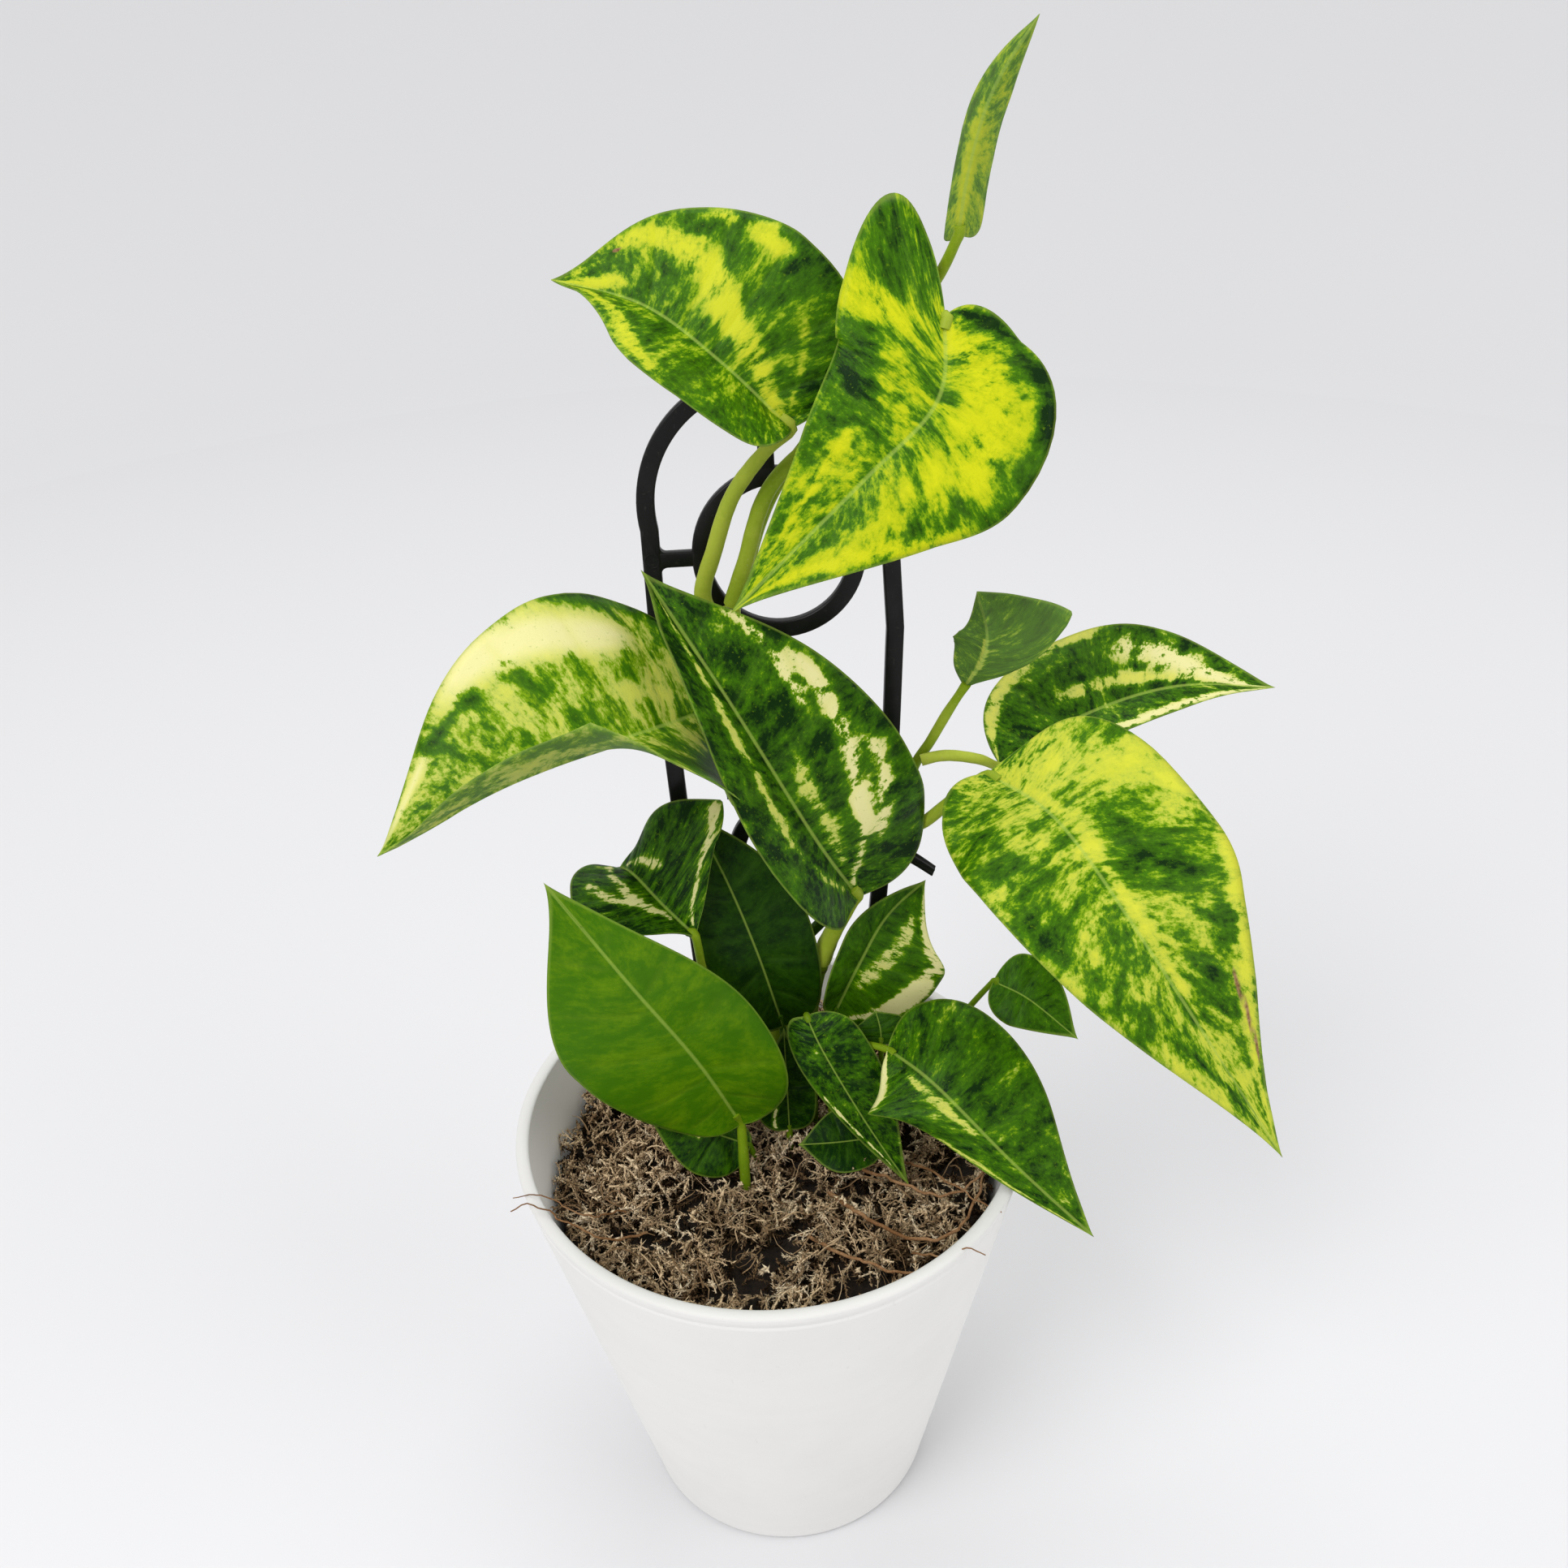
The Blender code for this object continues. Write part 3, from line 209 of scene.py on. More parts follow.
# How each blade is marked. pale: paleness all over, mottle: strength of the streaks,
# cream: how far its pale parts go from yellow to cream, veins: side veins in each half.
# marks: (kind, place along, place across, place along, place across, half width,
# strength), a stroke from one place to another; across runs from -1 at the left
# margin over 0 at the midrib to 1 at the right margin.
MARKS = {
    "top_spear": dict(pale=0.42, mottle=0.55, cream=0.0, veins=5, marks=(
        ("pale", 0.05, 0.0, 0.55, 0.1, 0.16, 0.30), ("pale", 0.45, 0.6, 0.95, 0.3, 0.14, -0.16))),
    "upper_left": dict(pale=0.30, mottle=0.75, cream=0.05, veins=8, marks=(
        ("pale", 0.12, 0.05, 0.50, 0.28, 0.08, 0.40), ("pale", 0.48, 0.26, 0.74, 0.85, 0.09, 0.42),
        ("pale", 0.60, 0.95, 0.47, 0.85, 0.05, 0.42), ("pale", 0.86, 0.30, 1.00, 0.0, 0.14, 0.50),
        ("pale", 0.50, -0.85, 0.90, -0.60, 0.10, 0.32), ("pale", 0.40, 0.95, 0.18, 0.60, 0.12, -0.16),
        ("pale", 0.14, 0.30, 0.34, 0.60, 0.025, 0.20), ("dry", 0.77, 0.83, 0.79, 0.80, 0.022, 1.20))),
    "upper_right": dict(pale=0.40, mottle=0.75, cream=0.0, veins=8, marks=(
        ("pale", 0.12, -0.10, 0.44, -0.55, 0.15, 0.34), ("pale", 0.45, -0.30, 0.78, -0.70, 0.15, 0.20),
        ("pale", 0.60, -0.98, 0.97, -0.60, 0.07, 0.34), ("pale", 0.08, -0.75, 0.42, -1.00, 0.13, -0.36),
        ("pale", 0.58, -0.10, 0.66, -0.90, 0.035, -0.20), ("pale", 0.50, -0.30, 0.60, -1.0, 0.025, -0.18),
        ("pale", 0.12, 0.75, 0.62, 0.80, 0.22, -0.20), ("pale", 0.37, 0.95, 0.30, 0.45, 0.05, 0.42),
        ("pale", 0.66, 0.50, 0.82, 0.65, 0.05, 0.34), ("pale", 0.50, 0.30, 0.56, 0.75, 0.05, -0.20))),
    "left_cream": dict(pale=0.42, mottle=0.68, cream=0.25, veins=8, marks=(
        ("cream", 0.42, 0.66, 0.62, 0.92, 0.10, 0.60), ("cream", 0.80, 0.85, 0.98, 0.95, 0.06, 0.40),
        ("pale", 0.10, 0.95, 0.42, 1.00, 0.08, -0.34), ("pale", 0.10, -0.50, 0.42, -0.60, 0.20, -0.22),
        ("pale", 0.30, 0.20, 0.55, 0.35, 0.06, 0.14), ("pale", 0.66, 0.75, 0.76, 0.85, 0.04, -0.25))),
    "centre": dict(pale=0.13, mottle=0.80, cream=0.35, veins=8, marks=(
        ("cream", 0.64, 0.85, 0.42, 0.45, 0.065, 0.48), ("cream", 0.42, 0.45, 0.14, 0.10, 0.050, 0.42),
        ("cream", 0.48, 0.80, 0.34, 0.50, 0.060, 0.46), ("cream", 0.77, 0.95, 0.63, 0.60, 0.050, 0.42),
        ("pale", 0.56, 0.20, 0.30, 0.10, 0.060, 0.34), ("pale", 0.90, -0.35, 0.50, -0.40, 0.09, 0.38),
        ("pale", 0.50, -0.45, 0.22, -0.25, 0.06, 0.32))),
    "right_front": dict(pale=0.42, mottle=0.85, cream=0.12, veins=9, marks=(
        ("pale", 0.18, -0.20, 0.42, -0.95, 0.10, 0.26), ("pale", 0.48, -0.35, 0.62, -0.85, 0.14, -0.20),
        ("pale", 0.50, -1.00, 0.95, -0.80, 0.06, 0.40), ("pale", 0.08, -0.04, 0.80, -0.10, 0.05, 0.24),
        ("pale", 0.34, 0.60, 0.66, 0.85, 0.15, -0.18), ("pale", 0.74, 0.70, 0.90, 0.50, 0.08, -0.20),
        ("pale", 0.92, -0.30, 1.00, 0.0, 0.08, 0.30), ("pale", 0.70, -0.35, 0.76, -0.70, 0.05, -0.30),
        ("dry", 0.73, -0.78, 0.82, -0.94, 0.045, 0.70))),
    "right_back": dict(pale=0.20, mottle=0.80, cream=0.30, veins=7, marks=(
        ("pale", 0.08, -0.80, 0.46, -1.00, 0.09, 0.46), ("cream", 0.44, 0.80, 0.95, 0.90, 0.13, 0.50),
        ("cream", 0.62, -0.70, 1.00, 0.0, 0.16, 0.46), ("pale", 0.40, -0.30, 0.80, -0.20, 0.09, 0.40),
        ("pale", 0.05, 0.5, 0.35, 0.8, 0.08, 0.32))),
    "small_twisted": dict(pale=0.28, mottle=0.55, cream=0.2, veins=5, marks=(
        ("pale", 0.10, 0.0, 0.60, 0.05, 0.06, 0.35),)),
    "low_left": dict(pale=0.34, mottle=0.09, cream=0.0, veins=7, marks=()),
    "small_folded": dict(pale=0.14, mottle=0.80, cream=0.5, veins=6, marks=(
        ("cream", 0.80, -0.50, 0.30, -0.10, 0.075, 0.46), ("cream", 0.46, 0.90, 0.12, 0.25, 0.075, 0.42),
        ("cream", 0.62, -0.80, 0.50, -0.35, 0.050, 0.40), ("cream", 0.90, 0.20, 0.60, 0.30, 0.060, 0.40))),
    "back_left": dict(pale=0.06, mottle=0.18, cream=0.0, veins=7, marks=(
        ("pale", 0.85, 0.0, 1.0, 0.0, 0.15, 0.25),)),
    "back_right": dict(pale=0.20, mottle=0.45, cream=0.6, veins=6, marks=(
        ("cream", 0.34, 0.80, 0.90, 1.00, 0.13, 0.46), ("cream", 0.16, 0.60, 0.36, 0.75, 0.09, 0.42),
        ("pale", 0.36, 0.15, 0.74, 0.55, 0.10, 0.34))),
    "low_centre": dict(pale=0.12, mottle=0.75, cream=0.7, veins=6, marks=(
        ("cream", 0.60, 0.85, 0.86, 0.60, 0.045, 0.60),)),
    "low_right": dict(pale=0.20, mottle=0.70, cream=0.3, veins=7, marks=(
        ("cream", 0.04, 0.85, 0.34, 1.00, 0.14, 0.85), ("pale", 0.34, 0.20, 0.60, 0.15, 0.08, 0.40),
        ("pale", 0.70, 0.90, 0.98, 0.75, 0.07, 0.50))),
    "tiny_back": dict(pale=0.14, mottle=0.3, cream=0.0, veins=4, marks=()),
    "under_left": dict(pale=0.10, mottle=0.45, cream=0.6, veins=5, marks=(
        ("pale", 0.60, -0.25, 0.75, -0.35, 0.05, 0.40),)),
    "dark_centre": dict(pale=0.04, mottle=0.3, cream=0.7, veins=5, marks=(
        ("cream", 0.20, -0.80, 0.35, -0.40, 0.05, 0.60),)),
    "low_front": dict(pale=0.04, mottle=0.3, cream=0.0, veins=5, marks=()),
    "right_small": dict(pale=0.20, mottle=0.4, cream=0.0, veins=5, marks=()),
}


def mix(a, b, t):
    """The value at share t of the way from a to b."""
    return a + (b - a) * t


def smooth(points, t):
    """Point and tangent at share t of a smooth curve through the points."""
    pts = [Vector(p) for p in points]
    pts = [pts[0] * 2 - pts[1]] + pts + [pts[-1] * 2 - pts[-2]]
    spans = len(pts) - 3
    at = min(max(t, 0.0), 1.0) * spans
    i = min(int(at), spans - 1)
    u = at - i
    a, b, c, d = pts[i:i + 4]
    place = 0.5 * ((2 * b) + (c - a) * u + (2 * a - 5 * b + 4 * c - d) * u * u
                   + (3 * b - a - 3 * c + d) * u ** 3)
    slope = 0.5 * ((c - a) + (2 * a - 5 * b + 4 * c - d) * 2 * u
                   + (3 * b - a - 3 * c + d) * 3 * u * u)
    return place, slope.normalized()


def bezier(a, b, c, d, t):
    """Point at share t of a flat cubic curve."""
    s = 1 - t
    return tuple(s ** 3 * a[k] + 3 * s * s * t * b[k] + 3 * s * t * t * c[k] + t ** 3 * d[k]
                 for k in (0, 1))


def rib_length(leaf):
    """Length of a leaf's midrib, measured from point to point."""
    pts = [Vector(p) for p in leaf["rib"]]
    return sum((b - a).length for a, b in zip(pts, pts[1:]))


def rib_frame(leaf, a):
    """Place, direction, side and upper normal at share a of the midrib."""
    place, ahead = smooth(leaf["rib"], a)
    if a < 0:
        place = place + ahead * (a * rib_length(leaf))
    face = Vector(leaf["face"])
    up = (face - ahead * face.dot(ahead)).normalized()
    chord = Vector(leaf["rib"][-1]) - Vector(leaf["rib"][0])
    turned = ahead.lerp(chord.normalized(), leaf.get("steady", 0.0))
    return place, ahead, turned.cross(up).normalized(), up


def margin(leaf, side, t):
    """Flat outline of one half: share along the midrib, share of the width."""
    lobe = leaf["lobe"][side]
    wide = leaf["widest"][side]
    bulge = leaf.get("corner", (1, 1))[side]
    rest = 1 - wide
    if t < FOOT_SHARE:
        near = (mix(wide / 3, -1.5 * lobe, bulge), 0.30)
        far = (mix(wide * 0.67, wide - 0.42 - 1.1 * lobe, bulge), mix(0.67, 1, bulge))
        return bezier((0, 0), near, far, (wide, 1), t / FOOT_SHARE)
    near = (wide + rest * mix(0.33, 0.42, bulge), mix(0.67, 1, bulge))
    far = (mix(wide + rest * 0.67, 0.90, bulge), mix(0.33, 0.10, bulge))
    return bezier((wide, 1), near, far, (1, 0), (t - FOOT_SHARE) / (1 - FOOT_SHARE))


def leaf_point(leaf, side, t, r):
    """Point on the upper face, with its distance from the midrib; t is the vein, r runs out."""
    edge_a, edge_c = margin(leaf, side, t)
    a = mix(t ** 1.25, edge_a, r ** 1.15)
    width = leaf["width"][side]
    c = edge_c * r * width
    place, _, across, up = rib_frame(leaf, a)
    low, high = leaf["fold"][side]
    start = math.radians(mix(low, high, min(max(2 * a, 0), 1)))
    bend = math.radians(leaf["curl"][side]) / width
    if abs(bend) < 1e-5:
        out, rise = c * math.cos(start), c * math.sin(start)
    else:
        out = (math.sin(start + bend * c) - math.sin(start)) / bend
        rise = (math.cos(start) - math.cos(start + bend * c)) / bend
    return place + across * (out if side == 0 else -out) + up * rise, c, edge_c * width - c


def route(points, start=0.0, end=0.0, step=2.0):
    """Evenly spaced points along a smooth curve, cut back at each end."""
    fine = [smooth(points, i / 300)[0] for i in range(301)]
    lengths = [0.0]
    for a, b in zip(fine, fine[1:]):
        lengths.append(lengths[-1] + (b - a).length)
    total = lengths[-1] - end
    count = max(4, round((total - start) / step))
    out = []
    k = 0
    for i in range(count + 1):
        want = mix(start, total, i / count)
        while k < len(fine) - 2 and lengths[k + 1] < want:
            k += 1
        out.append(fine[k].lerp(fine[k + 1], (want - lengths[k]) / (lengths[k + 1] - lengths[k])))
    return out


# ---------------------------------------------------------------- node trees

class Socket:
    """A node's output that takes part in arithmetic and adds the Math nodes it needs."""

    def __init__(self, shader, output):
        self.shader = shader
        self.output = output

    def _math(self, operation, *values):
        return self.shader.node("ShaderNodeMath", {"operation": operation}, dict(enumerate(values)))

    def __add__(self, other):
        return self._math("ADD", self, other)

    __radd__ = __add__

    def __mul__(self, other):
        return self._math("MULTIPLY", self, other)

    __rmul__ = __mul__

    def __sub__(self, other):
        return self._math("SUBTRACT", self, other)

    def __rsub__(self, other):
        return self._math("SUBTRACT", other, self)

    def step(self, low, high):
        """0 below low, 1 above high and smooth between them; falls where low is the larger."""
        settings = {"interpolation_type": "SMOOTHSTEP"}
        values = {"Value": self, "From Min": low, "From Max": high, "To Min": 0.0, "To Max": 1.0}
        return self.shader.node("ShaderNodeMapRange", settings, values)


class Tree:
    """A node tree that is built one node at a time."""

    def __init__(self, tree):
        self.tree = tree

    def node(self, kind, settings=None, values=None, output=0):
        """One node: its settings first, then the values or links of its sockets."""
        node = self.tree.nodes.new(kind)
        for key, value in (settings or {}).items():
            if key == "stops":
                ramp = node.color_ramp
                while len(ramp.elements) < len(value):
                    ramp.elements.new(0.5)
                for element, (place, colour) in zip(ramp.elements, value):
                    element.position = place
                    element.color = (*colour, 1.0)
            else:
                setattr(node, key, value)
        for key, value in (values or {}).items():
            socket = node.inputs[key]
            if isinstance(value, Socket):
                self.tree.links.new(value.output, socket)
            else:
                socket.default_value = value
        return Socket(self, node.outputs[output])


class Shader(Tree):
    """Builds one Principled material from named nodes."""

    def __init__(self, name, **constants):
        self.material = bpy.data.materials.new(name)
        self.material.use_nodes = True
        super().__init__(self.material.node_tree)
        self.surface = self.tree.nodes["Principled BSDF"]
        for key, value in constants.items():
            self.surface.inputs[key.replace("_", " ")].default_value = value

    def attribute(self, name, output="Fac"):
        return self.node("ShaderNodeAttribute", {"attribute_name": name}, output=output)

    def place(self):
        """Object coordinates in metres."""
        return self.stretch(self.node("ShaderNodeTexCoord", output="Object"), (1, 1, 1))

    def stretch(self, vector, scale):
        """Coordinates times a scale of their own along each axis."""
        return self.node("ShaderNodeMapping", None, {"Vector": vector, "Scale": scale})

    def noise(self, vector, scale=1.0, detail=3.0, roughness=0.6, distortion=0.0):
        return self.node("ShaderNodeTexNoise", None, {
            "Vector": vector, "Scale": scale, "Detail": detail, "Roughness": roughness,
            "Distortion": distortion})

    def ramp(self, factor, *stops):
        return self.node("ShaderNodeValToRGB", {"stops": stops}, {"Fac": factor})

    def blend(self, factor, a, b):
        """Mixes two colours."""
        a = (*a, 1.0) if isinstance(a, tuple) else a
        b = (*b, 1.0) if isinstance(b, tuple) else b
        return self.node("ShaderNodeMix", {"data_type": "RGBA"}, {0: factor, 6: a, 7: b}, output=2)

    def bump(self, height, distance, strength=1.0):
        return self.node("ShaderNodeBump", None,
                         {"Height": height, "Distance": distance, "Strength": strength})

    def finish(self, **links):
        for key, value in links.items():
            self.tree.links.new(value.output, self.surface.inputs[key.replace("_", " ")])
        return self.material


class Shape(Tree):
    """Builds a Geometry Nodes tree with named inputs, and applies it to an object."""

    def __init__(self, name, **inputs):
        super().__init__(bpy.data.node_groups.new(name, "GeometryNodeTree"))
        face = self.tree.interface
        face.new_socket("Geometry", in_out="INPUT", socket_type="NodeSocketGeometry")
        face.new_socket("Geometry", in_out="OUTPUT", socket_type="NodeSocketGeometry")
        self.names = {}
        for key, kind in inputs.items():
            socket = face.new_socket(key, in_out="INPUT", socket_type=f"NodeSocket{kind}")
            self.names[key] = socket.identifier
        self.start = self.tree.nodes.new("NodeGroupInput")
        self.end = self.tree.nodes.new("NodeGroupOutput")

    def given(self, name="Geometry"):
        return Socket(self, self.start.outputs[name])

    def noise_at(self, place, scale):
        """Noise read at the place that an input node gives."""
        return self.node("ShaderNodeTexNoise", None,
                         {"Vector": self.node(place), "Scale": scale, "Detail": 2.0})

    def finish(self, geometry):
        """Realizes what was made, gives it the material input and ends the tree."""
        real = self.node("GeometryNodeRealizeInstances", None, {"Geometry": geometry})
        done = self.node("GeometryNodeSetMaterial", None,
                         {"Geometry": real, "Material": self.given("Material")})
        self.tree.links.new(done.output, self.end.inputs[0])
        return self

    def apply(self, name, source, **values):
        """The plain mesh that the tree makes from a source mesh, which is used up."""
        obj = bpy.data.objects.new(name, source)
        bpy.context.collection.objects.link(obj)
        mod = obj.modifiers.new(name, "NODES")
        mod.node_group = self.tree
        for key, value in values.items():
            mod[self.names[key]] = value
        bpy.context.view_layer.update()
        depsgraph = bpy.context.evaluated_depsgraph_get()
        mesh = bpy.data.meshes.new_from_object(obj.evaluated_get(depsgraph))
        obj.modifiers.remove(mod)
        bpy.data.objects.remove(obj)
        bpy.data.meshes.remove(source)
        mesh.name = name
        if not mesh.polygons:
            raise RuntimeError(f"{name} came out empty")
        return mesh


# ---------------------------------------------------------------- mesh helpers

def mesh_from(name, bm):
    """A mesh with what a bmesh holds; the bmesh is freed."""
    mesh = bpy.data.meshes.new(name)
    bm.to_mesh(mesh)
    bm.free()
    return mesh


def close_rings(bm, rings, closed):
    """Joins rings of vertices into a skin, closed into a loop or capped at its two ends."""
    size = len(rings[0])
    for low, high in list(zip(rings, rings[1:])) + ([(rings[-1], rings[0])] if closed else []):
        for k in range(size):
            n = (k + 1) % size
            bm.faces.new((low[k], low[n], high[n], high[k]))
    if not closed:
        bm.faces.new(rings[0][::-1])
        bm.faces.new(rings[-1])
    bmesh.ops.recalc_face_normals(bm, faces=bm.faces)
    return bm


def make_object(name, mesh, material, *nodes, slot=None):
    """Links a finished piece, gives it its material, hangs it on the body and hides the frame's nodes it
    stands for.
    """
    obj = bpy.data.objects.new(name, mesh)
    bpy.context.collection.objects.link(obj)
    mesh.materials.clear()
    mesh.materials.append(material)
    mesh.shade_smooth()
    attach(obj, BODY)
    if nodes:
        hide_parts(*nodes)
    return obj


def lift(points):
    """Turns millimetres above the moss into metres above the floor."""
    out = np.asarray(points, dtype=float) * MM
    out[..., 2] += MOSS_LEVEL * MM
    return out


def float_attribute(mesh, name, values):
    """Writes one number for each point of a mesh."""
    mesh.attributes.new(name, "FLOAT", "POINT").data.foreach_set("value", np.asarray(values, np.float32))


def vector_attribute(mesh, name, values):
    """Writes one vector for each point of a mesh."""
    flat = np.asarray(values, np.float32).reshape(-1)
    mesh.attributes.new(name, "FLOAT_VECTOR", "POINT").data.foreach_set("vector", flat)


def material_once(name, build):
    """The material of that name, built if it isn't there yet."""
    return bpy.data.materials.get(name) or build()


# ---------------------------------------------------------------- settings

class PotSettings(bpy.types.PropertyGroup):
    """Sizes and colour of the pot"""
    colour: FloatVectorProperty(name="Colour", description="Colour of the pot", subtype="COLOR",
                                size=3, default=(0.86, 0.85, 0.83), min=0, max=1)
    steps: IntProperty(name="Steps", description="Faces round the pot", default=192, min=24, max=512)
    wall: FloatProperty(name="Wall", description="Thickness of the wall", default=0.0036,
                        min=0.001, max=0.01, unit="LENGTH")
    band: FloatProperty(name="Rim band", description="Height of the band under the rim",
                        default=0.0042, min=0.001, max=0.02, unit="LENGTH")


class LeafSettings(bpy.types.PropertyGroup):
    """Mesh, relief and colours of the blades"""
    rows: IntProperty(name="Rows", description="Rows of faces from foot to tip", default=72,
                      min=16, max=160)
    columns: IntProperty(name="Columns", description="Faces across each half", default=18, min=6, max=40)
    thickness: FloatProperty(name="Thickness", description="Thickness of the blade", default=0.0005,
                             min=0.0002, max=0.002, unit="LENGTH")
    pillow: FloatProperty(name="Pillow", description="Rise of the blade between two side veins",
                          default=0.00028, min=0.0, max=0.002, unit="LENGTH")
    wave: FloatProperty(name="Wave", description="Rise and fall of the margin", default=0.0008,
                        min=0.0, max=0.005, unit="LENGTH")
    dark: FloatVectorProperty(name="Dark green", description="Deepest green of the blades",
                              subtype="COLOR", size=3, default=(0.0030, 0.0220, 0.0010), min=0, max=1)
    green: FloatVectorProperty(name="Green", description="Usual green of the blades",
                               subtype="COLOR", size=3, default=(0.052, 0.165, 0.0010), min=0, max=1)
    lime: FloatVectorProperty(name="Lime", description="Yellow green of the blades",
                              subtype="COLOR", size=3, default=(0.200, 0.350, 0.003), min=0, max=1)
    yellow: FloatVectorProperty(name="Yellow", description="Yellow streaks",
                                subtype="COLOR", size=3, default=(0.58, 0.61, 0.008), min=0, max=1)
    cream: FloatVectorProperty(name="Cream", description="Cream patches",
                               subtype="COLOR", size=3, default=(0.78, 0.74, 0.34), min=0, max=1)


class StemSettings(bpy.types.PropertyGroup):
    """Mesh of the vines and stalks"""
    sides: IntProperty(name="Sides", description="Faces round a stem", default=18, min=6, max=48)
    spacing: FloatProperty(name="Ring spacing", description="Distance between two rings of a stem",
                           default=0.0012, min=0.0005, max=0.01, unit="LENGTH")


class MossSettings(bpy.types.PropertyGroup):
    """Amounts and seed of the moss"""
    sprigs: IntProperty(name="Sprigs", description="Dried sprigs in each of the two layers",
                        default=1500, min=10, max=4000)
    threads: IntProperty(name="Threads", description="Loose curly threads", default=90, min=10, max=4000)
    seed: IntProperty(name="Seed", description="Seed of everything random in the moss", default=11)


class TrellisSettings(bpy.types.PropertyGroup):
    """Section of the trellis's bars"""
    bar_width: FloatProperty(name="Bar width", description="Width of a bar", default=0.0044,
                             min=0.001, max=0.02, unit="LENGTH")
    bar_depth: FloatProperty(name="Bar depth", description="Depth of a bar", default=0.003,
                             min=0.001, max=0.02, unit="LENGTH")
    rounding: FloatProperty(name="Rounding", description="Radius along the edges of a bar",
                            default=0.00055, min=0.0001, max=0.002, unit="LENGTH")


class StageSettings(bpy.types.PropertyGroup):
    """Floor and light"""
    floor: FloatVectorProperty(name="Floor", description="Colour of the floor", subtype="COLOR",
                               size=3, default=(0.74, 0.74, 0.755), min=0, max=1)
    key_light: FloatProperty(name="Key light", description="Power of the large soft light",
                             default=19.0, min=0.0, max=500.0, unit="POWER")
    sky: FloatProperty(name="Sky", description="Brightness of the light from all round", default=0.62,
                       min=0.0, max=10.0)


# ---------------------------------------------------------------- pot

def pot_material(colour):
    """Matt white plastic with fine turned lines, faint scuffs, dust under the rim and painted shade over
    the top of the lip.
    """
    s = Shader("pot_white", IOR=1.46)
    where = s.place()
    lines = s.noise(s.stretch(where, (14, 14, 2600)), detail=4.0, roughness=0.7)
    broad = s.noise(s.stretch(where, (30, 30, 260)), detail=3.0)
    cloud = s.noise(where, scale=28.0, detail=4.0)
    scuff = s.noise(s.stretch(where, (900, 900, 160)), detail=2.0).step(0.70, 0.76)
    dust = s.noise(where, scale=1500.0, detail=2.0).step(0.70, 0.78)
    height = s.node("ShaderNodeSeparateXYZ", None, {"Vector": where}, output=2)
    near_rim = height.step(RIM_HEIGHT * MM - 0.030, RIM_HEIGHT * MM)
    tone = s.blend(cloud.step(0.35, 0.75) * 0.35, colour, tuple(c * 0.90 for c in colour))
    tone = s.blend(broad.step(0.35, 0.8) * 0.18, tone, tuple(c * 0.93 for c in colour))
    tone = s.blend(scuff * 0.10, tone, (0.45, 0.43, 0.40))
    tone = s.blend(dust * near_rim * 0.35, tone, (0.30, 0.22, 0.15))
    # painted shade: the top of the lip is drawn a fifth darker than the rest of the pot
    lip = height.step((RIM_HEIGHT - 1.5) * MM, (RIM_HEIGHT - 0.3) * MM)
    tone = s.blend(lip * 0.7, tone, tuple(c * 0.80 for c in colour))
    relief = lines * 0.7 + broad * 0.3
    return s.finish(Base_Color=tone, Roughness=0.52 + lines * 0.16,
                    Normal=s.bump(relief, 0.00012, 0.55))


def build_pot(settings):
    """The pot turned from one outline: a rounded foot, a band below the rim, a thick lip."""
    base = POT_BASE_RADIUS
    wall = settings.wall / MM
    band = settings.band / MM

    def outer(z):
        return mix(base, RIM_RADIUS, z / RIM_HEIGHT)

    foot = 2.6
    outline = [(0.0, 0.9), (base - 9.0, 0.9), (base - 8.0, 0.5), (base - 7.2, 0.0)]
    for k in range(7):
        q = math.radians(90 * k / 6)
        outline.append((outer(foot) - foot * (1 - math.sin(q)), foot * (1 - math.cos(q))))
    top = RIM_HEIGHT - band
    outline += [(outer(z), z) for z in np.linspace(8, top - 1.2, 26)]
    outline += [(outer(top - 0.7), top - 0.7), (outer(top) - 0.30, top - 0.2),
                (outer(top) - 0.30, top + 0.2), (outer(top) - 0.02, top + 0.7)]
    lip = wall / 2 - 0.2
    centre_z = RIM_HEIGHT - 1.1
    mid = outer(centre_z) - wall / 2
    for k in range(13):
        q = math.radians(180 * k / 12)
        flat = 1.1 * math.sin(q) ** 0.8
        outline.append((mid + (lip + 0.2) * math.cos(q), centre_z + flat))
    outline += [(outer(z) - wall, z) for z in np.linspace(RIM_HEIGHT - 2.6, 9, 20)]
    outline += [(outer(6) - wall - 0.8, 5.6), (outer(5) - wall - 2.6, 4.3), (0.0, 4.0)]
    steps = settings.steps
    bm = bmesh.new()
    columns = []
    for i in range(steps):
        q = math.tau * i / steps
        columns.append([bm.verts.new((r * MM * math.cos(q), r * MM * math.sin(q), z * MM))
                        if r > 0 else None for r, z in outline])
    bottom = bm.verts.new((0, 0, outline[0][1] * MM))
    inside = bm.verts.new((0, 0, outline[-1][1] * MM))
    for here, there in zip(columns, columns[1:] + columns[:1]):
        bm.faces.new((bottom, there[1], here[1]))
        bm.faces.new((inside, here[-2], there[-2]))
        for k in range(1, len(outline) - 2):
            bm.faces.new((here[k], there[k], there[k + 1], here[k + 1]))
    material = pot_material(tuple(settings.colour))
    make_object("pot_shell", mesh_from("pot_shell", bm), material, "pot", slot="pot")


# ---------------------------------------------------------------- trellis and ties

LEAN = math.radians(8.0)
FOOT_Y = 12.0
ARCH_CENTRE = (8.5, 178.0)
ARCH_RADIUS = 31.5
UPPER_RING = (10.5, 165.5, 19.0)
LOWER_RING = (7.5, 86.0, 11.8)
LEGS = ((9.0, 145.0, 0.0), (8.5, 102.0, 2.2), (7.2, 52.0, 6.1), (6.0, 11.0, 9.8))
PRONG_DEPTH = 46.0
TIE_LEFT_AT = 107.0
TIE_RIGHT_AT = 90.0


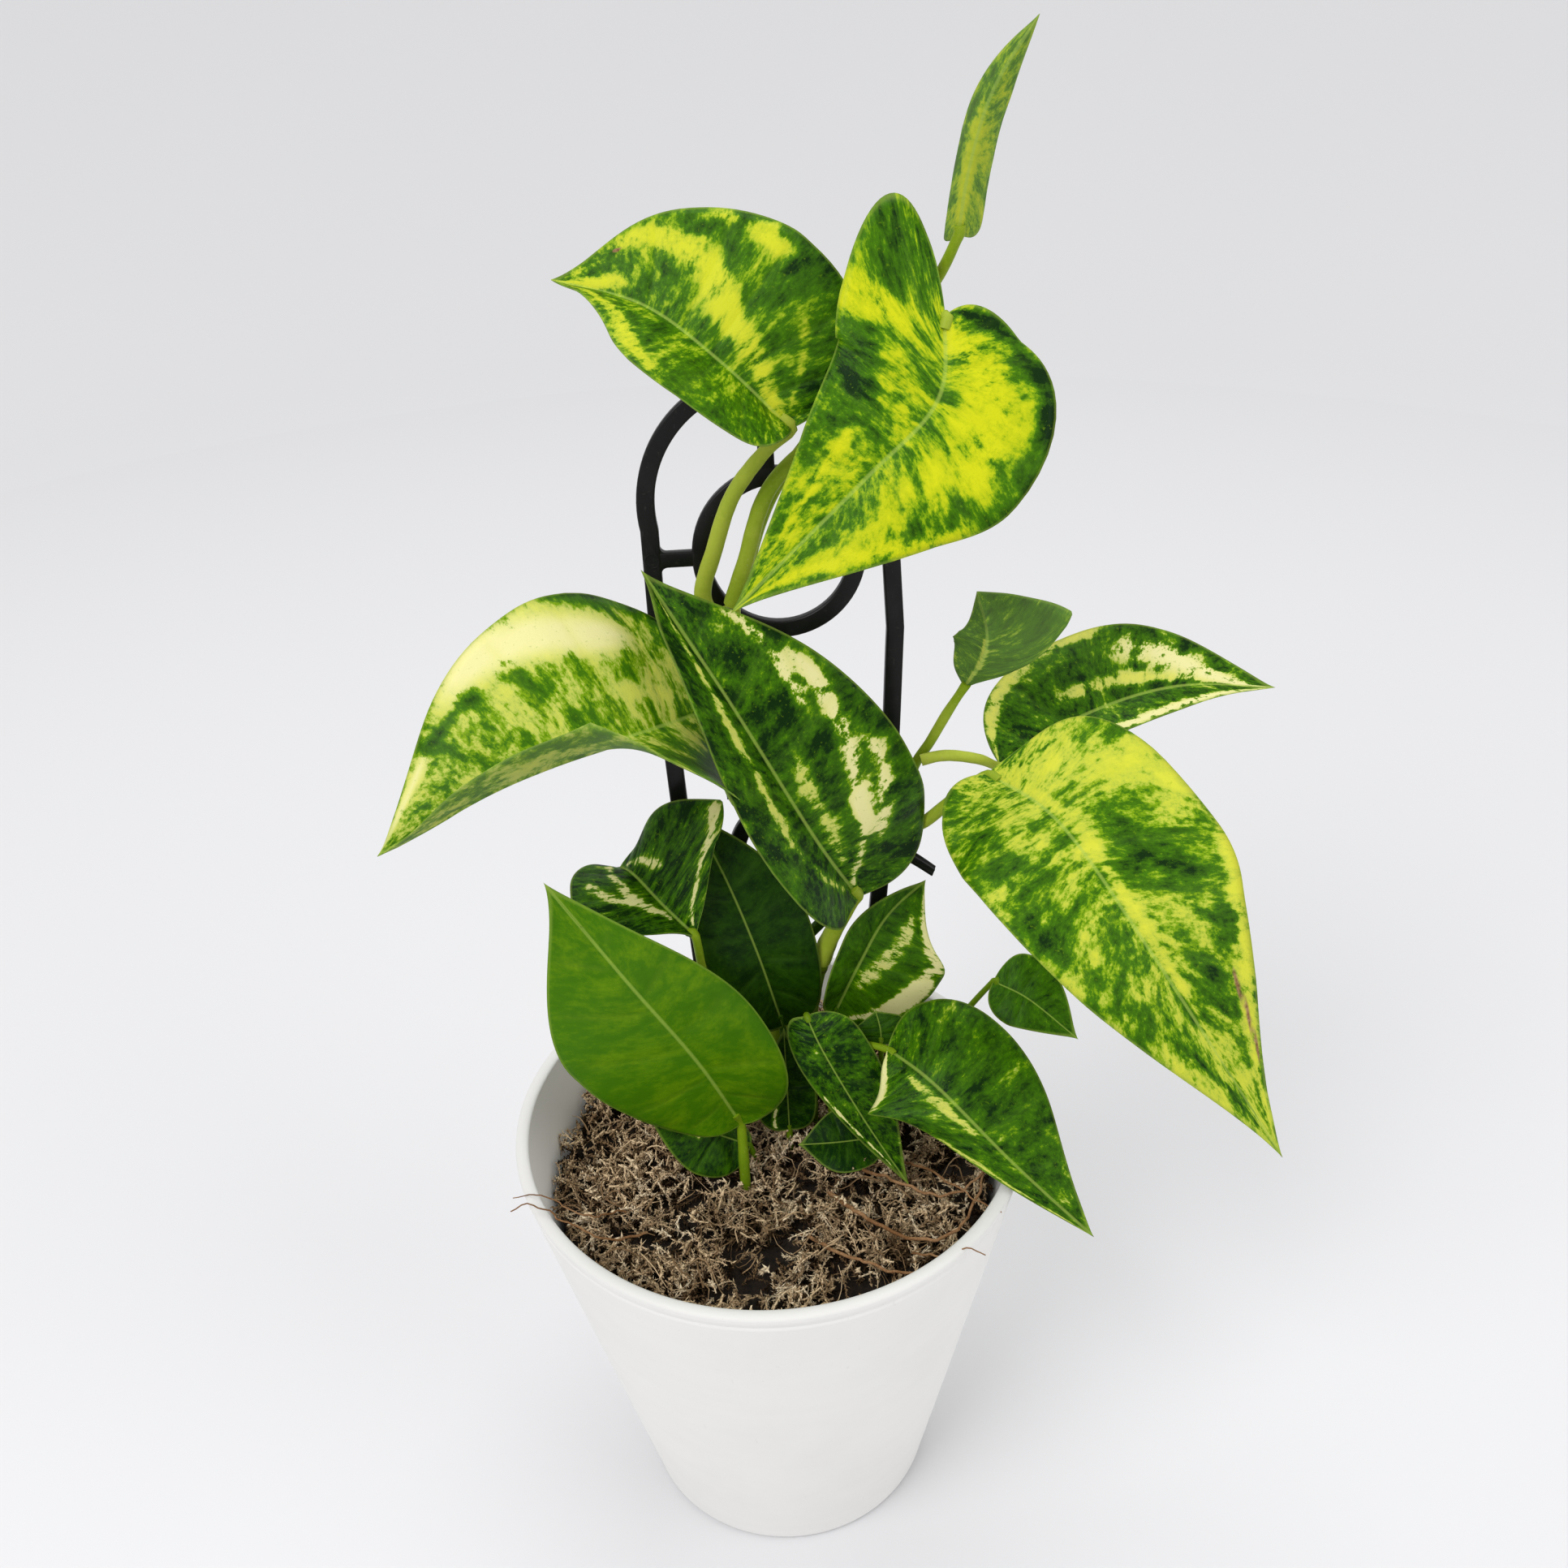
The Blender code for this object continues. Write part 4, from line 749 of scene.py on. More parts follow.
def black_plastic():
    """Black moulded plastic: fine grain, worn paler in places, a slight sheen."""
    s = Shader("black_plastic", IOR=1.48, Specular_IOR_Level=0.30)
    where = s.place()
    cloud = s.noise(where, scale=120.0, detail=4.0)
    grain = s.noise(where, scale=2600.0, detail=2.0)
    scratch = s.noise(s.stretch(where, (2200, 2200, 180)), detail=2.0).step(0.66, 0.74)
    dust = s.noise(where, scale=700.0, detail=3.0).step(0.62, 0.75)
    tone = s.blend(cloud.step(0.4, 0.7), (0.0028, 0.0029, 0.0031), (0.0070, 0.0070, 0.0075))
    tone = s.blend(scratch * 0.25, tone, (0.06, 0.06, 0.06))
    tone = s.blend(dust * 0.10, tone, (0.16, 0.14, 0.12))
    return s.finish(Base_Color=tone, Roughness=0.30 + cloud * 0.18 + scratch * 0.1,
                    Normal=s.bump(grain * 0.6 + cloud * 0.4, 0.00005, 0.5))


def trellis_point(x, z, depth=0.0):
    """A place on the leaning plane of the trellis; depth is out of its back."""
    return Vector((x, FOOT_Y + z * math.tan(LEAN) + depth * math.cos(LEAN), z - depth * math.sin(LEAN)))


def bar(path, width, depth, rounding, closed=False):
    """A bar with rounded edges along a path of (x, z) in the trellis plane, as a bmesh."""
    section = []
    for cx, cy, start in ((1, 1, 0), (-1, 1, 90), (-1, -1, 180), (1, -1, 270)):
        for k in range(4):
            q = math.radians(start + 30 * k)
            section.append((cx * (width / 2 - rounding) + rounding * math.cos(q),
                            cy * (depth / 2 - rounding) + rounding * math.sin(q)))
    bm = bmesh.new()
    rings = []
    count = len(path)
    for i, (x, z) in enumerate(path):
        before = path[i - 1] if closed or i else path[0]
        after = path[(i + 1) % count] if closed or i < count - 1 else path[-1]
        run = Vector((after[0] - before[0], after[1] - before[1])).normalized()
        rings.append([bm.verts.new(trellis_point(x + run.y * w, z - run.x * w, d)) for w, d in section])
    return close_rings(bm, rings, closed)


def arc(x, z, radius, steps, start, end):
    """Evenly spaced points of an arc in the trellis plane, from one angle to another."""
    turns = [math.radians(mix(start, end, i / (steps - 1))) for i in range(steps)]
    return [(x + radius * math.cos(q), z + radius * math.sin(q)) for q in turns]


def leg_path(side, width):
    """Middle line of a leg, from the arch down to the end of its prong."""
    spread = ARCH_RADIUS - width / 2
    points = [(middle + side * (spread - drawn_in), z) for middle, z, drawn_in in LEGS]
    (xa, za), (xb, zb) = points[-2:]
    points.append((mix(xa, xb, (-PRONG_DEPTH - za) / (zb - za)), -PRONG_DEPTH))
    flat = [(x, 0, z) for x, z in points]
    return [(p.x, p.z) for p in (smooth(flat, i / 40)[0] for i in range(41))]


def leg_x(side, z, width):
    """Where a leg's middle line lies at a height."""
    path = leg_path(side, width)
    for (xa, za), (xb, zb) in zip(path, path[1:]):
        if zb <= z <= za:
            return mix(xa, xb, (z - za) / (zb - za))
    return path[0][0]


def moulded_ring(x, z, radius, thick, front):
    """The round mark of an ejector pin on the front of a bar: a thin raised ring."""
    bm = bmesh.new()
    rings = []
    for i in range(24):
        q = math.tau * i / 24
        ring = []
        for k in range(6):
            w = math.tau * k / 6
            r = radius + thick * math.cos(w)
            ring.append(bm.verts.new(trellis_point(x + r * math.cos(q), z + r * math.sin(q),
                                                   front + thick * math.sin(w) * 0.6)))
        rings.append(ring)
    return close_rings(bm, rings, True)


def fillet(x, z, out_x, out_z, size, depth):
    """A small solid that fills the inner corner between an arm and the bar it meets."""
    outline = [(-0.5, -0.5), (1, -0.5), (1, 0)]
    for k in range(1, 5):
        q = math.radians(90 * k / 5)
        outline.append((1 - math.sin(q), 1 - math.cos(q)))
    outline += [(0, 1), (-0.5, 1)]
    bm = bmesh.new()
    rings = []
    for d in (-depth / 2, depth / 2):
        rings.append([bm.verts.new(trellis_point(x + out_x * size * u, z + out_z * size * v, d))
                      for u, v in outline])
    return close_rings(bm, rings, False)


def union(name, pieces):
    """One mesh from overlapping bmeshes given in millimetres above the moss."""
    objects = []
    for bm in pieces:
        obj = bpy.data.objects.new(name, mesh_from(name, bm))
        bpy.context.collection.objects.link(obj)
        objects.append(obj)
    base = objects[0]
    for other in objects[1:]:
        mod = base.modifiers.new("union", "BOOLEAN")
        mod.operation = "UNION"
        mod.solver = "EXACT"
        mod.object = other
    bpy.context.view_layer.update()
    evaluated = base.evaluated_get(bpy.context.evaluated_depsgraph_get())
    result = bpy.data.meshes.new_from_object(evaluated)
    for obj in objects:
        bpy.data.objects.remove(obj)
    result.name = name
    result.transform(FROM_MOSS)
    return result


def build_trellis(settings):
    """The outer bar, two rings, their arms and the short bar up to the arch."""
    sizes = (settings.bar_width, settings.bar_depth, settings.rounding)
    width, depth, rounding = (size / MM for size in sizes)
    outer = leg_path(-1, width)[::-1] + arc(*ARCH_CENTRE, ARCH_RADIUS - width / 2, 61, 190, -10)
    outer += leg_path(1, width)
    pieces = [bar(outer, width, depth, rounding)]
    for x, z, radius in (UPPER_RING, LOWER_RING):
        ring = arc(x, z, radius, 73, 0, 360)[:-1]
        pieces.append(bar(ring, width - 0.10, depth - 0.06, rounding, closed=True))
        for side in (-1, 1):
            leg = leg_x(side, z, width)
            arm = [(leg, z), (x + side * radius, z)][::-side]
            pieces.append(bar(arm, width - 0.5, depth - 0.4, rounding))
            for up in (-1, 1):
                corner = (leg - side * (width / 2 - 0.1), z + up * ((width - 0.5) / 2 - 0.1))
                pieces.append(fillet(*corner, -side, up, 1.5, depth - 0.7))
    x, z, radius = UPPER_RING
    top = ARCH_CENTRE[1] + ARCH_RADIUS - width / 2
    upright = [(ARCH_CENTRE[0], z + radius), (ARCH_CENTRE[0], top)]
    pieces.append(bar(upright, width - 0.5, depth - 0.4, rounding))
    for side in (-1, 1):
        leg = leg_x(side, UPPER_RING[1], width)
        pieces.append(moulded_ring(leg, UPPER_RING[1], 1.7, 0.16, -depth / 2))
    mesh = union("trellis_frame", pieces)
    obj = make_object("trellis_frame", mesh, material_once("black_plastic", black_plastic), "trellis",
                      slot="trellis")
    obj.data.set_sharp_from_angle(angle=SHARP_ANGLE)


def at_height(points, z):
    """Where a climbing stem first reaches a height."""
    fine = [smooth(points, i / 200)[0] for i in range(201)]
    for a, b in zip(fine, fine[1:]):
        if a.z <= z <= b.z:
            return a.lerp(b, (z - a.z) / (b.z - a.z))
    return fine[-1]


def strap_bar(stations, height, thick, closed):
    """A flat strap with a wire ridge along its middle, through (place, outward, up) stations."""
    section = []
    for k in range(13):
        h = mix(-0.5, 0.5, k / 12)
        ridge = 0.55 * math.exp(-(h / 0.13) ** 2)
        section.append((h * height, thick / 2 * (1.0 if abs(h) < 0.49 else 0.6) + ridge * thick))
    section += [(h, -w) for h, w in reversed(section)]
    bm = bmesh.new()
    rings = []
    for place, out, up in stations:
        rings.append([bm.verts.new(place + up * h + out * w) for h, w in section])
    return close_rings(bm, rings, closed)


def band(first, second, inner, thick=0.9, height=2.6):
    """The closed part of a tie round two upright things."""
    a, b = Vector(first), Vector(second)
    along = Vector((b.x - a.x, b.y - a.y, 0)).normalized()
    side = Vector((-along.y, along.x, 0))
    stations = []
    for centre, turn in ((b, -90), (a, 90)):
        for i in range(17):
            q = math.radians(turn + 180 * i / 16)
            out = along * math.cos(q) + side * math.sin(q)
            stations.append((centre + out * (inner + thick * 0.5), out, Vector((0, 0, 1))))
    return strap_bar(stations, height, thick * 0.72, True)


def loose_end(first, start, end, width, thick=0.8):
    """The free end of a tie: it leaves the band and turns a little as it goes."""
    a = Vector(first) + Vector(start)
    b = Vector(first) + Vector(end)
    ahead = (b - a).normalized()
    across = Vector((0, -0.55, 0.84)).cross(ahead).normalized()
    out = ahead.cross(across)
    stations = []
    for i in range(13):
        t = i / 12
        turn = math.radians(mix(-4, 14, t))
        place = a.lerp(b, t) + out * (0.5 * math.sin(math.pi * t))
        stations.append((place, out * math.cos(turn) + across * math.sin(turn),
                         across * math.cos(turn) - out * math.sin(turn)))
    return strap_bar(stations, width, thick * 0.8, False)


def build_ties(settings):
    """One tie holds the main vine to the old one, the other a vine to the right leg."""
    width, depth = settings.bar_width / MM, settings.bar_depth / MM
    material = material_once("black_plastic", black_plastic)
    first = at_height(VINES["vine_main"][0], TIE_LEFT_AT)
    second = at_height(VINES["vine_old"][0], TIE_LEFT_AT)
    left = union("tie_left_strap", [
        band(first, second, max(VINES["vine_main"][1]) + 1.1),
        loose_end(first, (-2.8, -2.1, -0.4), (-8.1, -3.7, 1.6), 2.0)])
    make_object("tie_left_strap", left, material, "tie_left", slot="tie")
    first = at_height(VINES["vine_right"][0], TIE_RIGHT_AT)
    second = trellis_point(leg_x(1, TIE_RIGHT_AT, width), TIE_RIGHT_AT)
    bar_round = math.hypot(width, depth) / 2
    front = -(bar_round + 1.25)
    right = union("tie_right_strap", [
        band(first, second, bar_round + 0.7),
        loose_end(first, (1.1, front + 0.5, 0), (11.1, front - 1.3, -7), 3.2),
        loose_end(first, (2.7, front + 1.5, 0), (6.7, front + 2.1, 1), 2.4)])
    make_object("tie_right_strap", right, material, "tie_right", slot="tie")
    for name in ("tie_left_strap", "tie_right_strap"):
        bpy.data.objects[name].data.set_sharp_from_angle(angle=SHARP_ANGLE)


# ---------------------------------------------------------------- leaves

LEAF_SLOTS = {
    "top_spear": "leaf_lime", "upper_right": "leaf_lime", "right_front": "leaf_lime",
    "left_cream": "leaf_cream", "back_left": "leaf_dark", "dark_centre": "leaf_dark",
    "low_front": "leaf_dark", "under_left": "leaf_dark", "low_centre": "leaf_dark",
}
EVENING = 6                             # rounds of evening out over a blade's grid


def leaf_material(settings):
    """One blade material: what differs from leaf to leaf comes from the mesh's attributes."""
    s = Shader("leaf_blade", IOR=1.38, Specular_IOR_Level=0.13)
    vein = s.attribute("vein", "Vector")
    pale, mottle, cream = s.attribute("pale"), s.attribute("mottle"), s.attribute("cream")
    off, rim, under, dry = (s.attribute(k) for k in ("off", "rim", "under", "dry"))
    side_vein = s.attribute("side_vein")
    where = s.place()
    streak = s.noise(s.stretch(vein, (17, 1.7, 9)), detail=6.0, roughness=0.66, distortion=0.35)
    fine = s.noise(s.stretch(vein, (60, 6, 9)), detail=4.0, roughness=0.7)
    speck = s.noise(where, scale=620.0, detail=3.0, roughness=0.7)
    cells = s.noise(where, scale=2600.0, detail=2.0)
    flecks = s.noise(where, scale=1150.0, detail=1.0).step(0.66, 0.74) * mottle

    torn = s.noise(s.stretch(vein, (52, 7, 9)), detail=5.0, roughness=0.78)
    level = (pale + (streak - 0.5) * mottle * 1.85 + (fine - 0.5) * mottle * 1.00
             + (speck - 0.5) * mottle * 0.40 + (torn - 0.5) * s.attribute("mark") * 1.7)
    dark, green, lime, yellow, light = (
        tuple(v) for v in (settings.dark, settings.green, settings.lime, settings.yellow, settings.cream))
    greens = s.ramp(level, (0.0, dark), (0.33, green), (0.43, lime),
                    (0.55, tuple(mix(a, b, 0.62) for a, b in zip(lime, yellow))), (0.80, yellow))
    creams = s.ramp(level, (0.0, dark), (0.33, green), (0.42, lime), (0.50, light), (0.95, light))
    tone = s.blend(cream, greens, creams)
    tone = s.blend(flecks * 0.35, tone, lime)
    tone = s.blend(side_vein * 0.16, tone, s.blend(level.step(0.2, 0.6), (0.10, 0.24, 0.02), yellow))
    tone = s.blend(off.step(0.55, 0.12) * 0.50, tone, (0.36, 0.50, 0.08))
    tone = s.blend(rim.step(0.60, 0.15) * 0.38, tone, (0.30, 0.42, 0.06))
    below = s.blend(0.30, tone, (0.20, 0.30, 0.10))
    tone = s.blend(under, tone, below)
    brown = s.ramp(speck, (0.30, (0.13, 0.055, 0.020)), (0.70, (0.42, 0.27, 0.13)))
    tone = s.blend(dry.step(0.35, 0.65), tone, brown)

    relief = fine * 0.7 + cells * 0.45 + streak * 0.4 - side_vein * 0.7
    rough = 0.30 + cells * 0.14 + under * 0.16 + dry * 0.2 + streak * 0.05
    return s.finish(Base_Color=tone, Roughness=rough, Normal=s.bump(relief, 0.00020, 0.7))


def stroke(t, s, place, width):
    """How strongly a stroke over the blade covers each point, 1 on its line."""
    (ta, sa), (tb, sb) = place
    run_t, run_s = tb - ta, (sb - sa) * 0.55
    length = max(run_t * run_t + run_s * run_s, 1e-9)
    at = np.clip(((t - ta) * run_t + (s - sa) * 0.55 * run_s) / length, 0, 1)
    gap = np.hypot(t - ta - at * run_t, (s - sa) * 0.55 - at * run_s)
    share = np.clip(1 - gap / width, 0, 1)
    return share * share * (3 - 2 * share)


def blade_grid(leaf, along, share):
    """Points of a blade's middle surface, with their distances from its midrib and margin."""
    point = np.zeros((len(along), len(share), 3))
    off = np.zeros(point.shape[:2])
    rim = np.zeros(point.shape[:2])
    for i, t in enumerate(along):
        for j, s in enumerate(share):
            place, c, left = leaf_point(leaf, 0 if s >= 0 else 1, float(t), abs(float(s)))
            point[i, j], off[i, j], rim[i, j] = place, c, left
    for _ in range(EVENING):  # relaxed a little, which opens the grid where its lines crowd together
        around = point[:-2, 1:-1] + point[2:, 1:-1] + point[1:-1, :-2] + point[1:-1, 2:]
        point[1:-1, 1:-1] = point[1:-1, 1:-1] * 0.5 + around * 0.125
    return point, off, rim


def blade_normals(leaf, point, half):
    """Unit normals of the middle surface, on the side of its upper face."""
    normal = np.cross(np.gradient(point, axis=0), np.gradient(point, axis=1))
    size = np.linalg.norm(normal, axis=2, keepdims=True)
    normal = normal / np.maximum(size, 1e-9)
    for _ in range(EVENING):  # evened over the fold at the midrib, so the two skins keep their distance
        normal[:, 1:-1] = normal[:, :-2] + 2 * normal[:, 1:-1] + normal[:, 2:]
        normal /= np.maximum(np.linalg.norm(normal, axis=2, keepdims=True), 1e-9)
    normal[0], normal[-1] = normal[1, half], normal[-2, half]
    up = np.array(rib_frame(leaf, 0.5)[3])
    return -normal if normal[(len(point) - 1) // 2, half] @ up < 0 else normal


def blade_marks(marks, along, share, t_grid, s_grid, seed):
    """How pale, cream, dry and torn each place of a blade is."""
    pale, cream = (np.full(t_grid.shape, float(marks[key])) for key in ("pale", "cream"))
    dry, mark = np.zeros(t_grid.shape), np.zeros(t_grid.shape)
    ragged = np.array([[1.0 + 0.9 * noise.noise(Vector((t * 34, s * 7, seed * 5.1))) for s in share]
                       for t in along])
    for kind, ta, sa, tb, sb, width, strength in marks["marks"]:
        stroked = stroke(t_grid, s_grid, ((ta, sa), (tb, sb)), width)
        cover = stroked * strength
        if kind == "dry":
            dry += cover
            continue
        if strength > 0.3:
            mark = np.maximum(mark, stroked)
        pale += cover * ragged
        if kind == "cream":
            cream = np.clip(cream + np.abs(cover) * 1.6, 0, 1)
    return pale, cream, dry, mark


def blade_faces(rows, width):
    """Faces of the closed skin: the upper side, its mirror below and the strip between them."""
    foot = (rows - 1) * width
    tip, base = foot + 1, foot + 2
    faces = []
    for i in range(rows - 2):
        for j in range(width - 1):
            a = i * width + j
            faces += [(a, a + 1, a + width + 1), (a, a + width + 1, a + width)]
    for j in range(width - 1):
        faces.append((foot, j + 1, j))
        last = (rows - 2) * width + j
        faces.append((tip, last, last + 1))
    faces += [tuple(base + v for v in reversed(face)) for face in faces]
    edge_loop = ([foot] + [i * width + width - 1 for i in range(rows - 1)] + [tip]
                 + [i * width for i in reversed(range(rows - 1))])
    for a, b in zip(edge_loop, edge_loop[1:] + edge_loop[:1]):
        faces.append((a, b, base + b, base + a))
    return faces


def build_blade(key, leaf, marks, settings, material, seed):
    """A blade as a closed skin: veined pillows above, a raised midrib below, a waved margin."""
    rows, half = settings.rows, settings.columns
    across = np.arange(-half, half + 1) / half
    share = np.sign(across) * np.abs(across) ** 1.3
    along = np.linspace(0, 1, rows + 1)
    t_grid = np.repeat(along[:, None], len(share), 1)
    s_grid = np.repeat(share[None, :], len(along), 0)
    point, off, rim = blade_grid(leaf, along, share)
    normal = blade_normals(leaf, point, half)

    ripple = np.abs(np.sin(np.pi * (t_grid * marks["veins"] + 0.35 * np.sign(s_grid))))
    inner = np.clip(off / 3.0, 0, 1) * np.clip(rim / 4.0, 0, 1)
    side_vein = np.exp(-((ripple / 0.16) ** 2)) * inner * (t_grid < 0.97)
    lump = np.array([[noise.noise(Vector(p) * 0.075 + Vector((seed * 3.7, 0, 0))) for p in row]
                     for row in point])
    size_mm = float(max(leaf["width"]))
    edge = np.clip(1 - rim / (0.35 * size_mm), 0, 1) ** 2
    wave = np.sin(2 * np.pi * (2.6 * t_grid + 0.13 * seed) + np.sign(s_grid)) * edge
    bulk = max(0.42, min(1.0, size_mm / 25.0))
    rise = (settings.pillow / MM * (ripple ** 0.7 - 0.5) * inner
            - 0.34 * bulk * np.exp(-(off / (0.75 * bulk)) ** 2) * (1 - t_grid * 0.6)
            + settings.wave / MM * wave * bulk + 0.45 * bulk * lump * np.clip(off / 4, 0, 1))
    broad = np.clip((off + rim) / 6.0, 0.02, 1.0)  # the relief fades where the blade narrows
    rise = rise * broad
    ridge = (0.20 + 1.25 * bulk * (1 - t_grid) ** 0.8) * np.exp(-(off / 1.25) ** 2) * broad
    thick = settings.thickness / MM * np.clip(0.35 + rim / 1.2, 0.35, 1.0)
    upper = point + normal * rise[..., None]
    lower = point + normal * (rise - thick - ridge)[..., None]

    def skin(grid):
        """A grid's rows between its ends as a list, then its foot and its tip."""
        between = grid[1:-1].reshape(-1, grid.shape[-1])
        return np.vstack([between, grid[0, half][None], grid[-1, half][None]])

    def both(grid):
        """The same values for the upper and the lower skin."""
        flat = skin(grid[..., None] if grid.ndim == 2 else grid)
        return np.vstack([flat, flat])

    name = f"{key}_blade"
    mesh = bpy.data.meshes.new(name)
    points = lift(np.vstack([skin(upper), skin(lower)])).tolist()
    mesh.from_pydata(points, [], blade_faces(rows, len(share)))
    bm = bmesh.new()
    bm.from_mesh(mesh)
    bmesh.ops.recalc_face_normals(bm, faces=bm.faces)
    bm.to_mesh(mesh)
    bm.free()

    pale, cream, dry, mark = blade_marks(marks, along, share, t_grid, s_grid, seed)
    vein = np.stack([t_grid, s_grid, np.full(off.shape, seed * 1.0)], axis=2)
    vector_attribute(mesh, "vein", both(vein))
    levels = {"off": off / bulk, "rim": rim, "pale": pale, "cream": cream, "dry": dry, "mark": mark,
              "side_vein": side_vein, "mottle": np.full(off.shape, float(marks["mottle"]))}
    for level, grid in levels.items():
        float_attribute(mesh, level, both(grid)[:, 0])
    float_attribute(mesh, "under", np.repeat((0.0, 1.0), len(points) // 2))
    slot = LEAF_SLOTS.get(key, "leaf_green")
    return make_object(name, mesh, material, f"leaf_{key}", slot=slot)


def build_leaves(settings):
    """Every blade, each named after its place on the plant."""
    material = material_once("leaf_blade", lambda: leaf_material(settings))
    for seed, (name, leaf) in enumerate(LEAVES.items(), start=1):
        build_blade(name, leaf, MARKS[name], settings, material, seed)


# ---------------------------------------------------------------- stems

def stem_material():
    """Smooth green bark with lengthwise streaks, darker old wood and corky nodes."""
    s = Shader("stem_skin", IOR=1.42, Specular_IOR_Level=0.14)
    pale, scar = s.attribute("pale"), s.attribute("scar")
    along = s.attribute("run", "Vector")
    streak = s.noise(s.stretch(along, (7, 7, 38)), detail=4.0, roughness=0.65)
    where = s.place()
    speck = s.noise(where, scale=900.0, detail=3.0)
    dots = s.noise(where, scale=1300.0, detail=1.0).step(0.68, 0.75)
    level = pale + (streak - 0.5) * 0.35 + (speck - 0.5) * 0.18
    tone = s.ramp(level, (0.05, (0.008, 0.026, 0.003)), (0.35, (0.048, 0.130, 0.003)),
                  (0.70, (0.200, 0.310, 0.008)), (1.0, (0.400, 0.470, 0.050)))
    tone = s.blend(dots * 0.25, tone, (0.40, 0.42, 0.16))
    cork = s.ramp(speck, (0.3, (0.030, 0.018, 0.008)), (0.7, (0.200, 0.130, 0.060)))
    tone = s.blend(scar.step(0.25, 0.75), tone, cork)
    return s.finish(Base_Color=tone, Roughness=0.36 + speck * 0.16 + scar * 0.25,
                    Normal=s.bump(streak * 0.8 + speck * 0.5, 0.00012, 0.5))


def sweep_shape():
    """Geometry Nodes: a round skin along a line whose points carry their own thickness."""
    s = Shape("round_sweep", Sides="Int", Material="Material")
    path = s.node("GeometryNodeMeshToCurve", None, {"Mesh": s.given()})
    ring = s.node("GeometryNodeCurvePrimitiveCircle", None, {"Resolution": s.given("Sides"), "Radius": 1.0})
    thick = s.node("GeometryNodeInputNamedAttribute", {"data_type": "FLOAT"}, {"Name": "thick"})
    skin = s.node("GeometryNodeCurveToMesh", None,
                  {"Curve": path, "Profile Curve": ring, "Scale": thick, "Fill Caps": True})
    return s.finish(skin)


def lines_mesh(name, lines):
    """A mesh of open polylines: each line is (points, thicknesses, palenesses, scars) in mm."""
    points, edges, thick, pale, scar, run = [], [], [], [], [], []
    for spots, radii, tones, marks in lines:
        first = len(points)
        points += list(spots)
        edges += [(first + i, first + i + 1) for i in range(len(spots) - 1)]
        thick += [r * MM for r in radii]
        pale += list(tones)
        scar += list(marks)
        length = 0.0
        for i, spot in enumerate(spots):
            length += (Vector(spot) - Vector(spots[i - 1])).length if i else 0.0
            run.append((length / 100.0, 0.0, 0.0))
    mesh = bpy.data.meshes.new(name)
    mesh.from_pydata(lift(points).tolist(), edges, [])
    float_attribute(mesh, "thick", thick)
    float_attribute(mesh, "pale", pale)
    float_attribute(mesh, "tone", pale)
    float_attribute(mesh, "scar", scar)
    vector_attribute(mesh, "run", run)
    return mesh


def stem_line(points, radii, pale, nodes=(), spacing=1.2, start=0.0, swell=0.0):
    """One stem's polyline: radii and paleness along it, swellings and scars at its nodes."""
    path = route(points, start, 0.0, spacing)
    last = len(path) - 1
    thick, tones, scars = [], [], []
    for i in range(last + 1):
        t = i / last
        at = t * (len(radii) - 1)
        k = min(int(at), len(radii) - 2)
        radius = mix(radii[k], radii[k + 1], at - k)
        scar = 0.0
        for node in nodes:
            gap = (t - node) * last * spacing
            radius += 0.55 * math.exp(-(gap / 1.8) ** 2)
            scar = max(scar, 0.9 * math.exp(-(gap / 0.7) ** 2))
        radius += swell * math.exp(-((1 - t) * last * spacing / 3.0) ** 2)
        radius *= 1 + 0.05 * noise.noise(Vector(path[i]) * 0.35)
        thick.append(radius)
        tones.append(pale + 0.12 * noise.noise(Vector(path[i]) * 0.06))
        scars.append(scar)
    return path, thick, tones, scars


def stalk_points(name):
    """A stalk's points, carried on into the foot of its blade."""
    leaf = LEAVES[name]
    place, ahead, _, up = rib_frame(leaf, 0)
    inside, _, _, up_in = rib_frame(leaf, 0.05)
    return [*STALKS[name][1], place - up * 0.9, inside - up_in * 0.75]


def build_stems(settings):
    """The climbing vines, and a stalk for every blade."""
    material = material_once("stem_skin", stem_material)
    sweep = sweep_shape()
    spacing = settings.spacing / MM
    for name, (points, radii, pale, nodes) in VINES.items():
        line = stem_line(points, radii, pale, nodes, spacing)
        mesh = sweep.apply(name, lines_mesh(name, [line]), Sides=settings.sides, Material=material)
        slot = "stem_dark" if pale < 0.4 else "stem_green"
        make_object(f"{name}_stem", mesh, material, name, slot=slot)
    for name, (free, _, radii, pale) in STALKS.items():
        tail_radius = radii[-1] * 0.75
        line = stem_line(stalk_points(name), (*radii, tail_radius), pale, (), spacing, free, swell=0.25)
        mesh = sweep.apply(name, lines_mesh(name, [line]), Sides=settings.sides, Material=material)
        make_object(f"{name}_stalk", mesh, material, f"stalk_{name}", slot="stem_green")


# ---------------------------------------------------------------- moss and soil

def soil_material():
    """Dark damp potting soil with coarse crumbs."""
    s = Shader("potting_soil", IOR=1.4)
    where = s.place()
    crumbs = s.noise(where, scale=420.0, detail=5.0, roughness=0.75)
    bits = s.noise(where, scale=1400.0, detail=3.0)
    tone = s.ramp(crumbs, (0.35, (0.006, 0.004, 0.003)), (0.60, (0.035, 0.022, 0.014)),
                  (0.80, (0.110, 0.075, 0.048)))
    return s.finish(Base_Color=tone, Roughness=0.82 + bits * 0.15,
                    Normal=s.bump(crumbs * 0.8 + bits * 0.3, 0.0012, 0.9))


